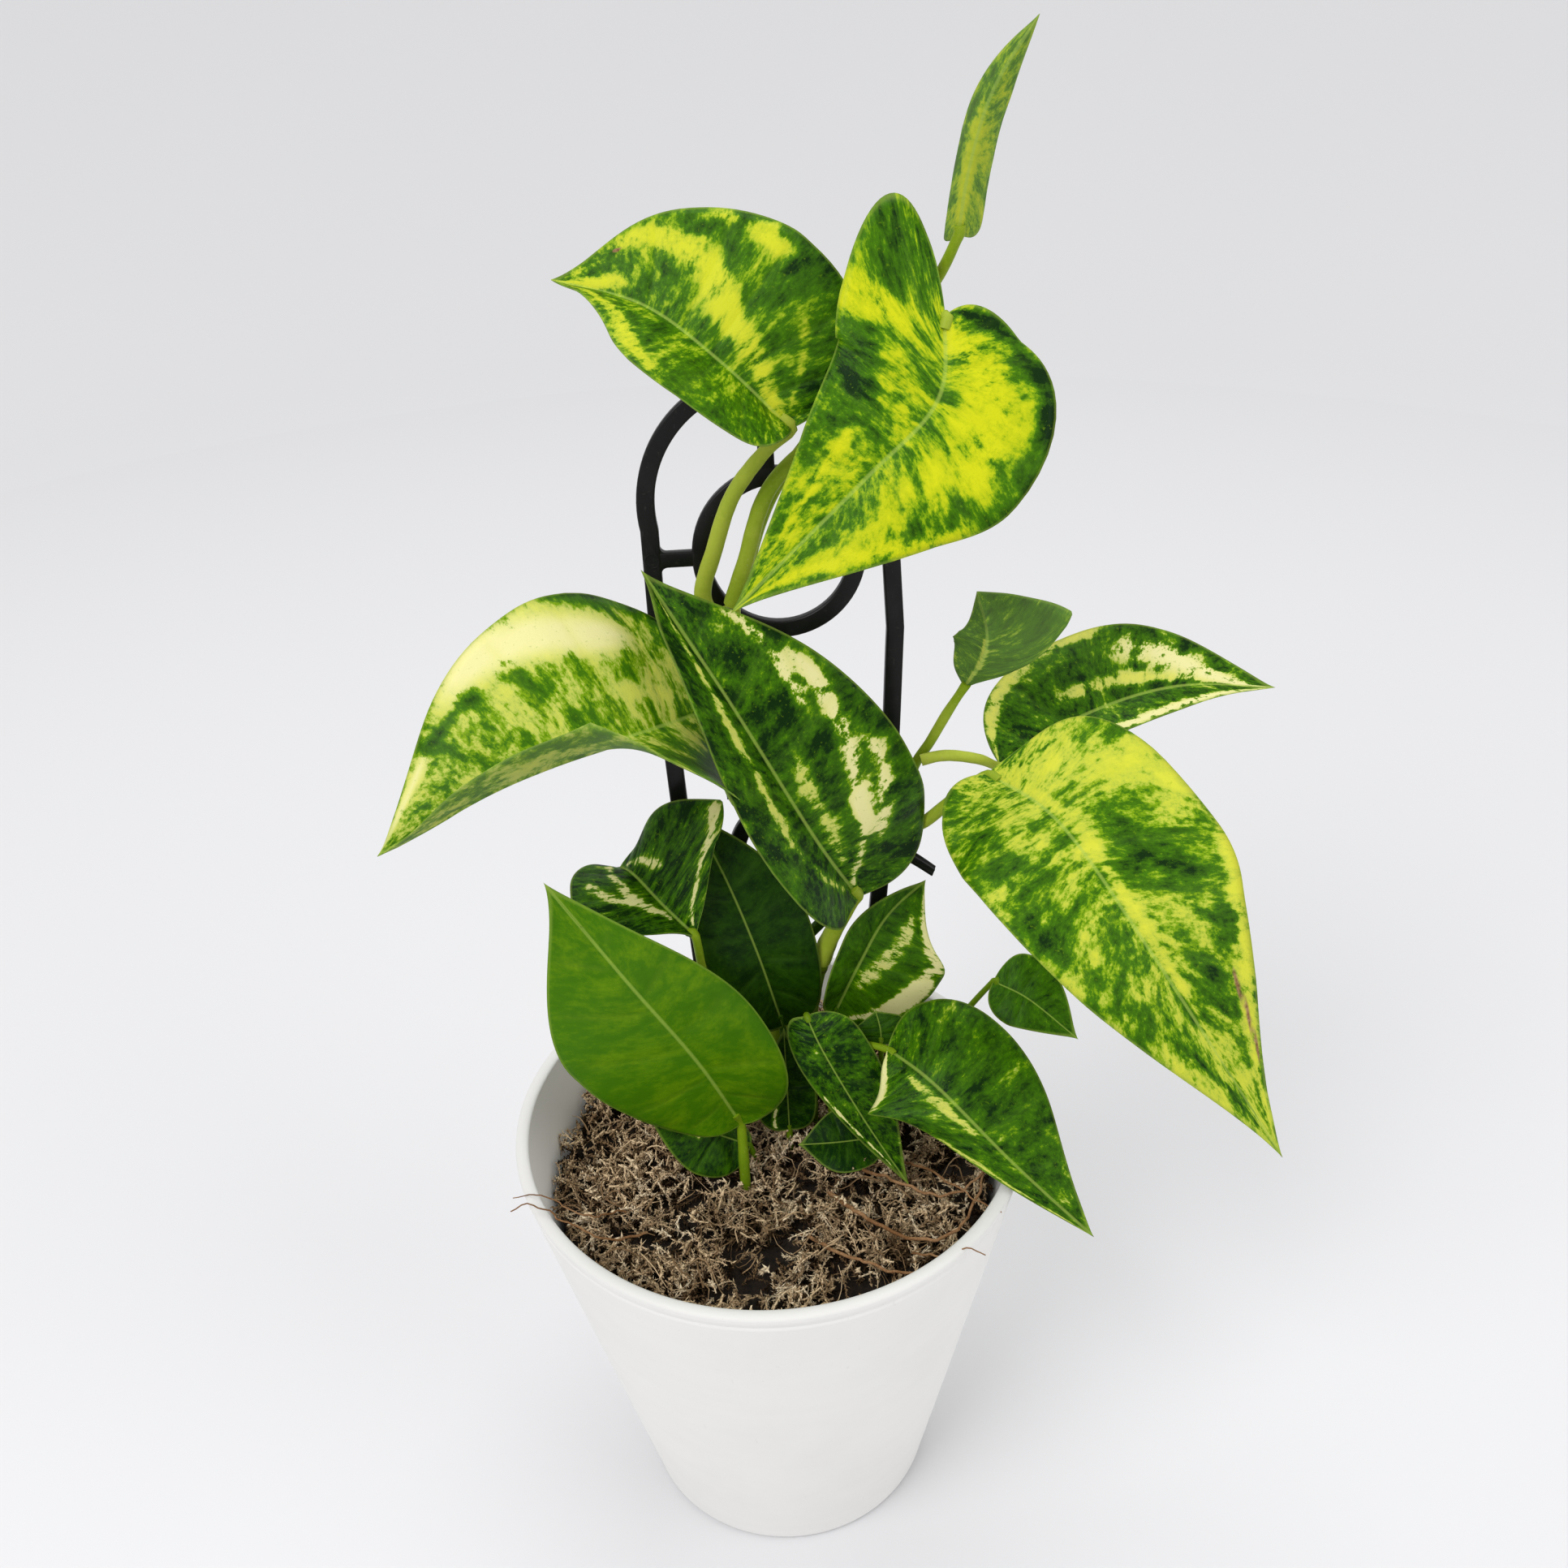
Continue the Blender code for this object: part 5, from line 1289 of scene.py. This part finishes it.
def moss_ground_material():
    """The dark ground between the sprigs."""
    s = Shader("moss_ground", IOR=1.4)
    where = s.place()
    crumbs = s.noise(where, scale=520.0, detail=5.0, roughness=0.75)
    fibre = s.noise(s.stretch(where, (900, 260, 900)), detail=3.0)
    tone = s.ramp(crumbs, (0.35, (0.004, 0.003, 0.002)), (0.65, (0.030, 0.018, 0.010)),
                  (0.85, (0.140, 0.085, 0.045)))
    return s.finish(Base_Color=tone, Roughness=0.85 + fibre * 0.12,
                    Normal=s.bump(crumbs + fibre * 0.4, 0.0008, 0.9))


def moss_material(name="dry_moss", redness=0.0):
    """Dried moss: every sprig has a brown of its own."""
    s = Shader(name, IOR=1.4, Specular_IOR_Level=0.08)
    where = s.place()
    tone_of = s.attribute("tone")
    fibre = s.noise(where, scale=1600.0, detail=4.0, roughness=0.7)
    patch = s.noise(where, scale=70.0, detail=3.0)
    level = tone_of * 0.62 + (fibre - 0.5) * 0.45 + (patch - 0.5) * 0.6 + 0.16
    deep = (0.020 + redness * 0.02, 0.011 - redness * 0.003, 0.006 - redness * 0.003)
    middle = (0.235 - redness * 0.08, 0.146 - redness * 0.09, 0.074 - redness * 0.06)
    light = (0.760 - redness * 0.32, 0.570 - redness * 0.38, 0.350 - redness * 0.28)
    tone = s.ramp(level, (0.06, deep), (0.44, middle), (0.78, light), (1.0, (0.90, 0.77, 0.56)))
    return s.finish(Base_Color=tone, Roughness=0.78 + fibre * 0.18,
                    Normal=s.bump(fibre, 0.00018, 0.6))


def moss_height(x, y):
    """Low lumps, with a hollow at the left and a heap at the front right."""
    lumps = noise.noise(Vector((x * 0.045, y * 0.045, 3.1))) * 4.8
    hollow = -5.0 * math.exp(-((x + 48) ** 2 + (y - 8) ** 2) / 260)
    heap = 3.0 * math.exp(-((x - 34) ** 2 + (y + 34) ** 2) / 700)
    return lumps + hollow + heap


def wall_radius(z):
    """Inner radius of the pot at a height counted from the moss."""
    return mix(POT_BASE_RADIUS, RIM_RADIUS, (z + MOSS_LEVEL) / RIM_HEIGHT) - POT_WALL


def bed_mesh(rings, steps, top_only=False):
    """The moss's own ground: a closed lumpy plug, or only its upper face."""
    outside = wall_radius(BED_LOW) - WALL_GAP
    bm = bmesh.new()
    turns = [math.tau * i / steps for i in range(steps)]
    grid = []
    for k in range(rings, 0, -1):
        radius = outside * k / rings
        ring = []
        for q in turns:
            x, y = radius * math.cos(q), radius * math.sin(q)
            rough = 1.1 * noise.fractal(Vector((x * 0.22, y * 0.22, 7.0)), 0.9, 2.0, 4)
            ring.append(bm.verts.new((x, y, moss_height(x, y) - BED_DROP + rough)))
        grid.append(ring)
    middle = bm.verts.new((0, 0, moss_height(0, 0) - BED_DROP))
    for i in range(steps):
        n = (i + 1) % steps
        for outer, inner in zip(grid, grid[1:]):
            bm.faces.new((outer[i], outer[n], inner[n], inner[i]))
        bm.faces.new((grid[-1][i], grid[-1][n], middle))
    if not top_only:
        base = [bm.verts.new((outside * math.cos(q), outside * math.sin(q), BED_LOW)) for q in turns]
        bottom = bm.verts.new((0, 0, BED_LOW))
        for i in range(steps):
            n = (i + 1) % steps
            bm.faces.new((base[i], base[n], grid[0][n], grid[0][i]))
            bm.faces.new((base[n], base[i], bottom))
        bmesh.ops.recalc_face_normals(bm, faces=bm.faces)
    mesh = mesh_from("moss_bed", bm)
    mesh.transform(FROM_MOSS)
    return mesh


def sprig_mesh(name, length, bend, leaflets, rng):
    """A dried sprig along X: a curled three-sided stem thick with forward-pointing leaflets."""
    bm = bmesh.new()
    segments = 5

    def spot(t):
        return Vector((length * (t - 0.5), bend * math.sin(math.pi * t * 1.2),
                       1.0 + abs(bend) * 0.5 * math.sin(math.pi * t) + 0.5 * math.sin(7 * t + bend)))

    rings = []
    for i in range(segments + 1):
        t = i / segments
        radius = 0.30 * (1 - 0.55 * t)
        rings.append([bm.verts.new(spot(t) + Vector((0, math.cos(q) * radius, math.sin(q) * radius)))
                      for q in (math.tau * k / 3 for k in range(3))])
    for low, high in zip(rings, rings[1:]):
        for k in range(3):
            n = (k + 1) % 3
            bm.faces.new((low[k], low[n], high[n], high[k]))
    bm.faces.new(rings[0][::-1])
    bm.faces.new(rings[-1])
    for i in range(leaflets):
        t = 0.06 + 0.92 * i / leaflets
        root = spot(t)
        ahead = (spot(t + 0.04) - spot(t - 0.04)).normalized()
        turn = i * 2.4 + rng.uniform(-0.4, 0.4)
        out = Vector((0, math.cos(turn), math.sin(turn)))
        reach = rng.uniform(1.0, 2.2) * (1.1 - 0.4 * t)
        tip = root + ahead * reach * 0.75 + out * reach * 0.8
        side = ahead.cross(out) * rng.uniform(0.36, 0.66)
        belly = root + (tip - root) * 0.45 + out * 0.22
        a, b, c, d = (bm.verts.new(p) for p in (root - side, root + side, tip, belly))
        for face in ((a, c, b), (a, d, c), (d, b, c), (a, b, d)):
            bm.faces.new(face)
    bmesh.ops.recalc_face_normals(bm, faces=bm.faces)
    bmesh.ops.scale(bm, vec=(MM, MM, MM), verts=bm.verts)
    return mesh_from(name, bm)


def scatter_shape():
    """Geometry Nodes: sprigs from a collection, lying this way and that over the bed."""
    s = Shape("sprig_scatter", Sprigs="Collection", Density="Float", Tone="Float", Seed="Int",
              Material="Material")
    clumps = s.noise_at("GeometryNodeInputPosition", 95.0).step(0.44, 0.56) * 1.75 + 0.16
    spots = s.node("GeometryNodeDistributePointsOnFaces", None,
                   {"Mesh": s.given(), "Density": s.given("Density") * clumps, "Seed": s.given("Seed")})
    kinds = s.node("GeometryNodeCollectionInfo", None,
                   {"Collection": s.given("Sprigs"), "Separate Children": True, "Reset Children": True})
    turn = s.node("FunctionNodeRandomValue", {"data_type": "FLOAT_VECTOR"},
                  {0: (-1.15, -1.15, 0.0), 1: (1.15, 1.15, math.tau), "Seed": s.given("Seed")})
    size = s.node("FunctionNodeRandomValue", {"data_type": "FLOAT"},
                  {2: 0.62, 3: 1.15, "Seed": s.given("Seed") + 3}, output=1)
    laid = s.node("GeometryNodeInstanceOnPoints", None,
                  {"Points": spots, "Instance": kinds, "Pick Instance": True, "Rotation": turn,
                   "Scale": size})
    tone = s.node("FunctionNodeRandomValue", {"data_type": "FLOAT"},
                  {2: s.given("Tone"), 3: s.given("Tone") + 0.75, "Seed": s.given("Seed") + 5}, output=1)
    marked = s.node("GeometryNodeStoreNamedAttribute", {"data_type": "FLOAT", "domain": "INSTANCE"},
                    {"Geometry": laid, "Name": "tone", "Value": tone})
    return s.finish(marked)


def keep_inside(mesh, below_rim=1.2):
    """Draws in whatever reaches through the pot's wall below its rim."""
    count = len(mesh.vertices)
    flat = np.zeros(count * 3, np.float32)
    mesh.vertices.foreach_get("co", flat)
    spots = flat.reshape(-1, 3).astype(float)
    height = spots[:, 2] / MM
    wall = mix(POT_BASE_RADIUS, RIM_RADIUS, height / RIM_HEIGHT) - POT_WALL
    limit = (wall - WALL_GAP) * MM
    radius = np.hypot(spots[:, 0], spots[:, 1])
    over = (radius > limit) & (height < RIM_HEIGHT + below_rim)
    shrink = np.where(over, limit / np.maximum(radius, 1e-9), 1.0)
    spots[:, 0] *= shrink
    spots[:, 1] *= shrink
    mesh.vertices.foreach_set("co", spots.astype(np.float32).reshape(-1))
    mesh.update()


def thread_lines(count, rng):
    """Loose curly threads that wander over the moss."""
    lines = []
    for _ in range(count):
        q, radius = rng.uniform(0, math.tau), 60 * math.sqrt(rng.uniform(0, 1))
        x, y = radius * math.cos(q), radius * math.sin(q)
        heading, lifted = rng.uniform(0, math.tau), rng.uniform(0.0, 4.5)
        curl = rng.uniform(-0.75, 0.75)
        spots = []
        for i in range(9):
            x, y = x + 2.1 * math.cos(heading), y + 2.1 * math.sin(heading)
            heading += curl + rng.uniform(-0.35, 0.35)
            if math.hypot(x, y) > 62:
                break
            spots.append(Vector((x, y, moss_height(x, y) + lifted + 2.2 * math.sin(i * 0.9))))
        if len(spots) > 3:
            last = len(spots) - 1
            size, tone = rng.uniform(0.16, 0.34), rng.uniform(0.2, 0.9)
            lines.append((spots, [size * (1 - 0.7 * i / last) for i in range(last + 1)],
                          [tone] * (last + 1), [0.0] * (last + 1)))
    return lines


# points of the long roots and strands, x, y and height above the moss
ROOTS = (
    (((14, -20, 4), (22, -33, 9), (34, -42, 8), (46, -40, 9), (54, -28, 12), (58, -14, 10)), 0.75),
    (((24, -14, 5), (33, -24, 10), (44, -29, 9), (56, -24, 13), (61, -10, 12)), 0.60),
    (((6, -34, 4), (18, -46, 8), (30, -52, 8), (42, -49, 9), (50, -40, 8)), 0.65),
    (((36, -12, 5), (42, -22, 11), (52, -34, 12), (57, -40, 14)), 0.5),
    (((-34, -30, 4), (-44, -36, 9), (-54, -34, 15), (-62, -30, 17), (-68, -30, 15.5)), 0.45),
    (((-40, -22, 4), (-50, -28, 10), (-60, -26, 16), (-69, -24, 14)), 0.35),
    (((34, -44, 5), (42, -50, 11), (47, -53, 16), (51, -55, 15)), 0.4),
)


def build_soil():
    """The soil keeps the frame's shape and gets its own material."""
    material = material_once("potting_soil", soil_material)
    soil = frame["nodes"]["soil"]
    for slot in soil.material_slots:
        slot.material = material


def build_moss(settings):
    """A dark bed, two layers of sprigs, threads, and the roots that creep over them."""
    material = material_once("dry_moss", moss_material)
    bed = bed_mesh(34, 120)
    ground = material_once("moss_ground", moss_ground_material)
    make_object("moss_bed", bed, ground, "moss", slot="moss")
    kinds = bpy.data.collections.new("sprig_kinds")
    rng = random.Random(settings.seed)
    makers = []
    for i in range(8):
        length, bend, leaflets = rng.uniform(5, 11), rng.uniform(-2.6, 2.6), rng.randint(17, 21)
        mesh = sprig_mesh(f"sprig_{i}", length, bend, leaflets, rng)
        obj = bpy.data.objects.new(f"sprig_{i}", mesh)
        kinds.objects.link(obj)
        makers.append(obj)
    scatter = scatter_shape()
    density = settings.sprigs / (math.pi * (wall_radius(BED_LOW) * MM) ** 2)
    for layer, name in enumerate(("moss_sprigs_low", "moss_sprigs_high")):
        mesh = scatter.apply(name, bed_mesh(20, 60, top_only=True), Sprigs=kinds, Density=density,
                             Tone=-0.35 + 0.82 * layer, Seed=settings.seed + 17 * layer,
                             Material=material)
        mesh.transform(Matrix.Translation((0, 0, 0.0012 + 0.0034 * layer)))
        keep_inside(mesh)
        make_object(name, mesh, material, slot="moss")
    for obj in makers:
        bpy.data.objects.remove(obj)
    bpy.data.collections.remove(kinds)
    sweep = sweep_shape()
    wandering = lines_mesh("moss_threads", thread_lines(settings.threads, rng))
    threads = sweep.apply("moss_threads", wandering, Sides=4, Material=material)
    keep_inside(threads)
    make_object("moss_threads", threads, material, slot="moss")
    red = material_once("root_skin", lambda: moss_material("root_skin", 0.6))
    lines = []
    for points, size in ROOTS:
        path = route(points, 0, 0, 1.5)
        last = len(path) - 1
        spots = [p + Vector((noise.noise(p * 0.3), noise.noise(p * 0.3 + Vector((9, 0, 0))),
                             0.6 * noise.noise(p * 0.4))) for p in path]
        lines.append((spots, [size * 0.8 * (1 - 0.55 * i / last) for i in range(last + 1)],
                      [0.55] * (last + 1), [0.0] * (last + 1)))
    roots = sweep.apply("creeping_roots", lines_mesh("creeping_roots", lines), Sides=8, Material=red)
    make_object("creeping_roots", roots, red, slot="moss")


# ---------------------------------------------------------------- stage

def floor_material(colour):
    """A smooth pale sweep with the faintest unevenness."""
    s = Shader("pale_sweep", IOR=1.3, Specular_IOR_Level=0.1)
    cloud = s.noise(s.place(), scale=1.5, detail=2.0)
    tone = s.blend(cloud.step(0.3, 0.7) * 0.06, colour, tuple(c * 0.9 for c in colour))
    return s.finish(Base_Color=tone, Roughness=0.75 + cloud * 0.1)


CAMERA_TURN = (32.72, 1.42, -2.78)      # degrees down, to the right and over
CAMERA_PLACE = (0.0, -0.326, 0.448)
CAMERA_LENS = 37.27
SENSOR_WIDTH = 36.0
LIGHT_AIM = (0.02, 0.0, 0.22)
# name, place, diameter, share of the key light's power
LIGHTS = (("key", (-0.9, -1.0, 1.7), 1.1, 1.0), ("fill", (1.3, -0.7, 1.1), 1.3, 0.35),
          ("top", (0.1, 0.5, 1.9), 1.2, 0.5))
FLOOR_RADIUS = 1.0
BACKDROP_BEND = 1.0
BACKDROP_TOP = 6.0


def build_stage(settings):
    """Floor and round backdrop, soft light from above and the camera."""
    material = floor_material(tuple(settings.floor))
    flat, bend, top = FLOOR_RADIUS, BACKDROP_BEND, BACKDROP_TOP
    turns = [math.tau * i / 96 for i in range(96)]
    floor_profile = [(r, 0.0) for r in (0.02, 0.4, 0.8, 1.2, flat)]
    wall_profile = [(flat + bend * math.sin(q), bend - bend * math.cos(q))
                    for q in np.linspace(0, math.pi / 2, 24)] + [(flat + bend, top)]
    for name, profile in (("pale_floor", floor_profile), ("pale_backdrop", wall_profile)):
        bm = bmesh.new()
        rings = [[bm.verts.new((r * math.cos(q), r * math.sin(q), z)) for q in turns]
                 for r, z in profile]
        if name == "pale_floor":
            bm.faces.new(rings[0])
        for low, high in zip(rings, rings[1:]):
            for k in range(len(turns)):
                n = (k + 1) % len(turns)
                bm.faces.new((low[k], high[k], high[n], low[n]))
        mesh = mesh_from(name, bm)
        mesh.shade_smooth()
        mesh.materials.append(material)
        sheet = bpy.data.objects.new(name, mesh)
        bpy.context.collection.objects.link(sheet)
        if name == "pale_backdrop":
            # only seen, so the light from all round still reaches the plant
            sheet.visible_diffuse = sheet.visible_glossy = sheet.visible_shadow = False

    world = bpy.data.worlds.new("soft_sky")
    world.use_nodes = True
    background = world.node_tree.nodes["Background"]
    background.inputs["Color"].default_value = (1.0, 1.0, 1.0, 1.0)
    background.inputs["Strength"].default_value = settings.sky
    scene = bpy.context.scene
    scene.world = world
    scene.view_settings.view_transform = "Standard"

    for name, place, size, share in LIGHTS:
        data = bpy.data.lights.new(f"{name}_light", "AREA")
        data.shape = "DISK"
        data.size = size
        data.energy = settings.key_light * share
        light = bpy.data.objects.new(f"{name}_light", data)
        light.location = place
        aim = Vector(LIGHT_AIM) - Vector(place)
        light.rotation_euler = aim.to_track_quat("-Z", "Y").to_euler()
        bpy.context.collection.objects.link(light)

    pitch, yaw, roll = (math.radians(v) for v in CAMERA_TURN)
    level = math.cos(pitch)
    ahead = Vector((level * math.sin(yaw), level * math.cos(yaw), -math.sin(pitch)))
    right = ahead.cross(Vector((0, 0, 1))).normalized()
    up = right.cross(ahead)
    turned_right = right * math.cos(roll) + up * math.sin(roll)
    turned_up = up * math.cos(roll) - right * math.sin(roll)
    data = bpy.data.cameras.new("front_camera")
    data.sensor_width = SENSOR_WIDTH
    data.lens = CAMERA_LENS
    data.dof.use_dof = False
    camera = bpy.data.objects.new("front_camera", data)
    axes = zip(turned_right, turned_up, -ahead)
    rows = [(*axis, place) for axis, place in zip(axes, CAMERA_PLACE)]
    camera.matrix_world = Matrix((*rows, (0, 0, 0, 1)))
    bpy.context.collection.objects.link(camera)
    scene.camera = camera


# ---------------------------------------------------------------- add-on

class POTHOS_OT_pot(bpy.types.Operator):
    """Turn the white pot"""
    bl_idname = "pothos.pot"
    bl_label = "Pot"

    def execute(self, context):
        build_pot(context.scene.pothos_pot)
        return {"FINISHED"}


class POTHOS_OT_soil(bpy.types.Operator):
    """Give the potting soil its material"""
    bl_idname = "pothos.soil"
    bl_label = "Soil"

    def execute(self, context):
        build_soil()
        return {"FINISHED"}


class POTHOS_OT_moss(bpy.types.Operator):
    """Lay dried moss, threads and roots over the soil"""
    bl_idname = "pothos.moss"
    bl_label = "Moss"

    def execute(self, context):
        build_moss(context.scene.pothos_moss)
        return {"FINISHED"}


class POTHOS_OT_trellis(bpy.types.Operator):
    """Mould the black trellis"""
    bl_idname = "pothos.trellis"
    bl_label = "Trellis"

    def execute(self, context):
        build_trellis(context.scene.pothos_trellis)
        return {"FINISHED"}


class POTHOS_OT_ties(bpy.types.Operator):
    """Tie the vines to each other and to the trellis"""
    bl_idname = "pothos.ties"
    bl_label = "Ties"

    def execute(self, context):
        build_ties(context.scene.pothos_trellis)
        return {"FINISHED"}


class POTHOS_OT_stems(bpy.types.Operator):
    """Grow the vines and the leaf stalks"""
    bl_idname = "pothos.stems"
    bl_label = "Stems"

    def execute(self, context):
        build_stems(context.scene.pothos_stems)
        return {"FINISHED"}


class POTHOS_OT_leaves(bpy.types.Operator):
    """Grow the variegated leaves"""
    bl_idname = "pothos.leaves"
    bl_label = "Leaves"

    def execute(self, context):
        build_leaves(context.scene.pothos_leaves)
        return {"FINISHED"}


class POTHOS_OT_stage(bpy.types.Operator):
    """Set the floor, the light and the camera"""
    bl_idname = "pothos.stage"
    bl_label = "Stage"

    def execute(self, context):
        build_stage(context.scene.pothos_stage)
        return {"FINISHED"}


SETTINGS = {"pothos_pot": PotSettings, "pothos_moss": MossSettings, "pothos_trellis": TrellisSettings,
            "pothos_stems": StemSettings, "pothos_leaves": LeafSettings, "pothos_stage": StageSettings}
OPERATORS = (POTHOS_OT_pot, POTHOS_OT_soil, POTHOS_OT_moss, POTHOS_OT_trellis, POTHOS_OT_ties,
             POTHOS_OT_stems, POTHOS_OT_leaves, POTHOS_OT_stage)


class POTHOS_PT_panel(bpy.types.Panel):
    """Settings and makers of the potted pothos"""
    bl_label = "Potted Pothos"
    bl_idname = "POTHOS_PT_panel"
    bl_space_type = "VIEW_3D"
    bl_region_type = "UI"
    bl_category = "Pothos"

    def draw(self, context):
        layout = self.layout
        for key, kind in SETTINGS.items():
            box = layout.box()
            box.label(text=kind.__name__.replace("Settings", ""))
            for name in kind.__annotations__:
                box.prop(getattr(context.scene, key), name)
        for operator in OPERATORS:
            layout.operator(operator.bl_idname)


def register():
    """Adds the settings, the makers and the panel."""
    for kind in (*SETTINGS.values(), *OPERATORS, POTHOS_PT_panel):
        bpy.utils.register_class(kind)
    for key, kind in SETTINGS.items():
        setattr(bpy.types.Scene, key, PointerProperty(type=kind))


def unregister():
    """Takes away what register adds."""
    for key in SETTINGS:
        delattr(bpy.types.Scene, key)
    for kind in reversed((*SETTINGS.values(), *OPERATORS, POTHOS_PT_panel)):
        bpy.utils.unregister_class(kind)


def main():
    """Builds every piece."""
    register()
    for operator in ("stage", "pot", "soil", "moss", "trellis", "ties", "stems", "leaves"):
        if getattr(bpy.ops.pothos, operator)() != {"FINISHED"}:
            raise RuntimeError(f"{operator} wasn't built")


if __name__ == "__main__":
    main()
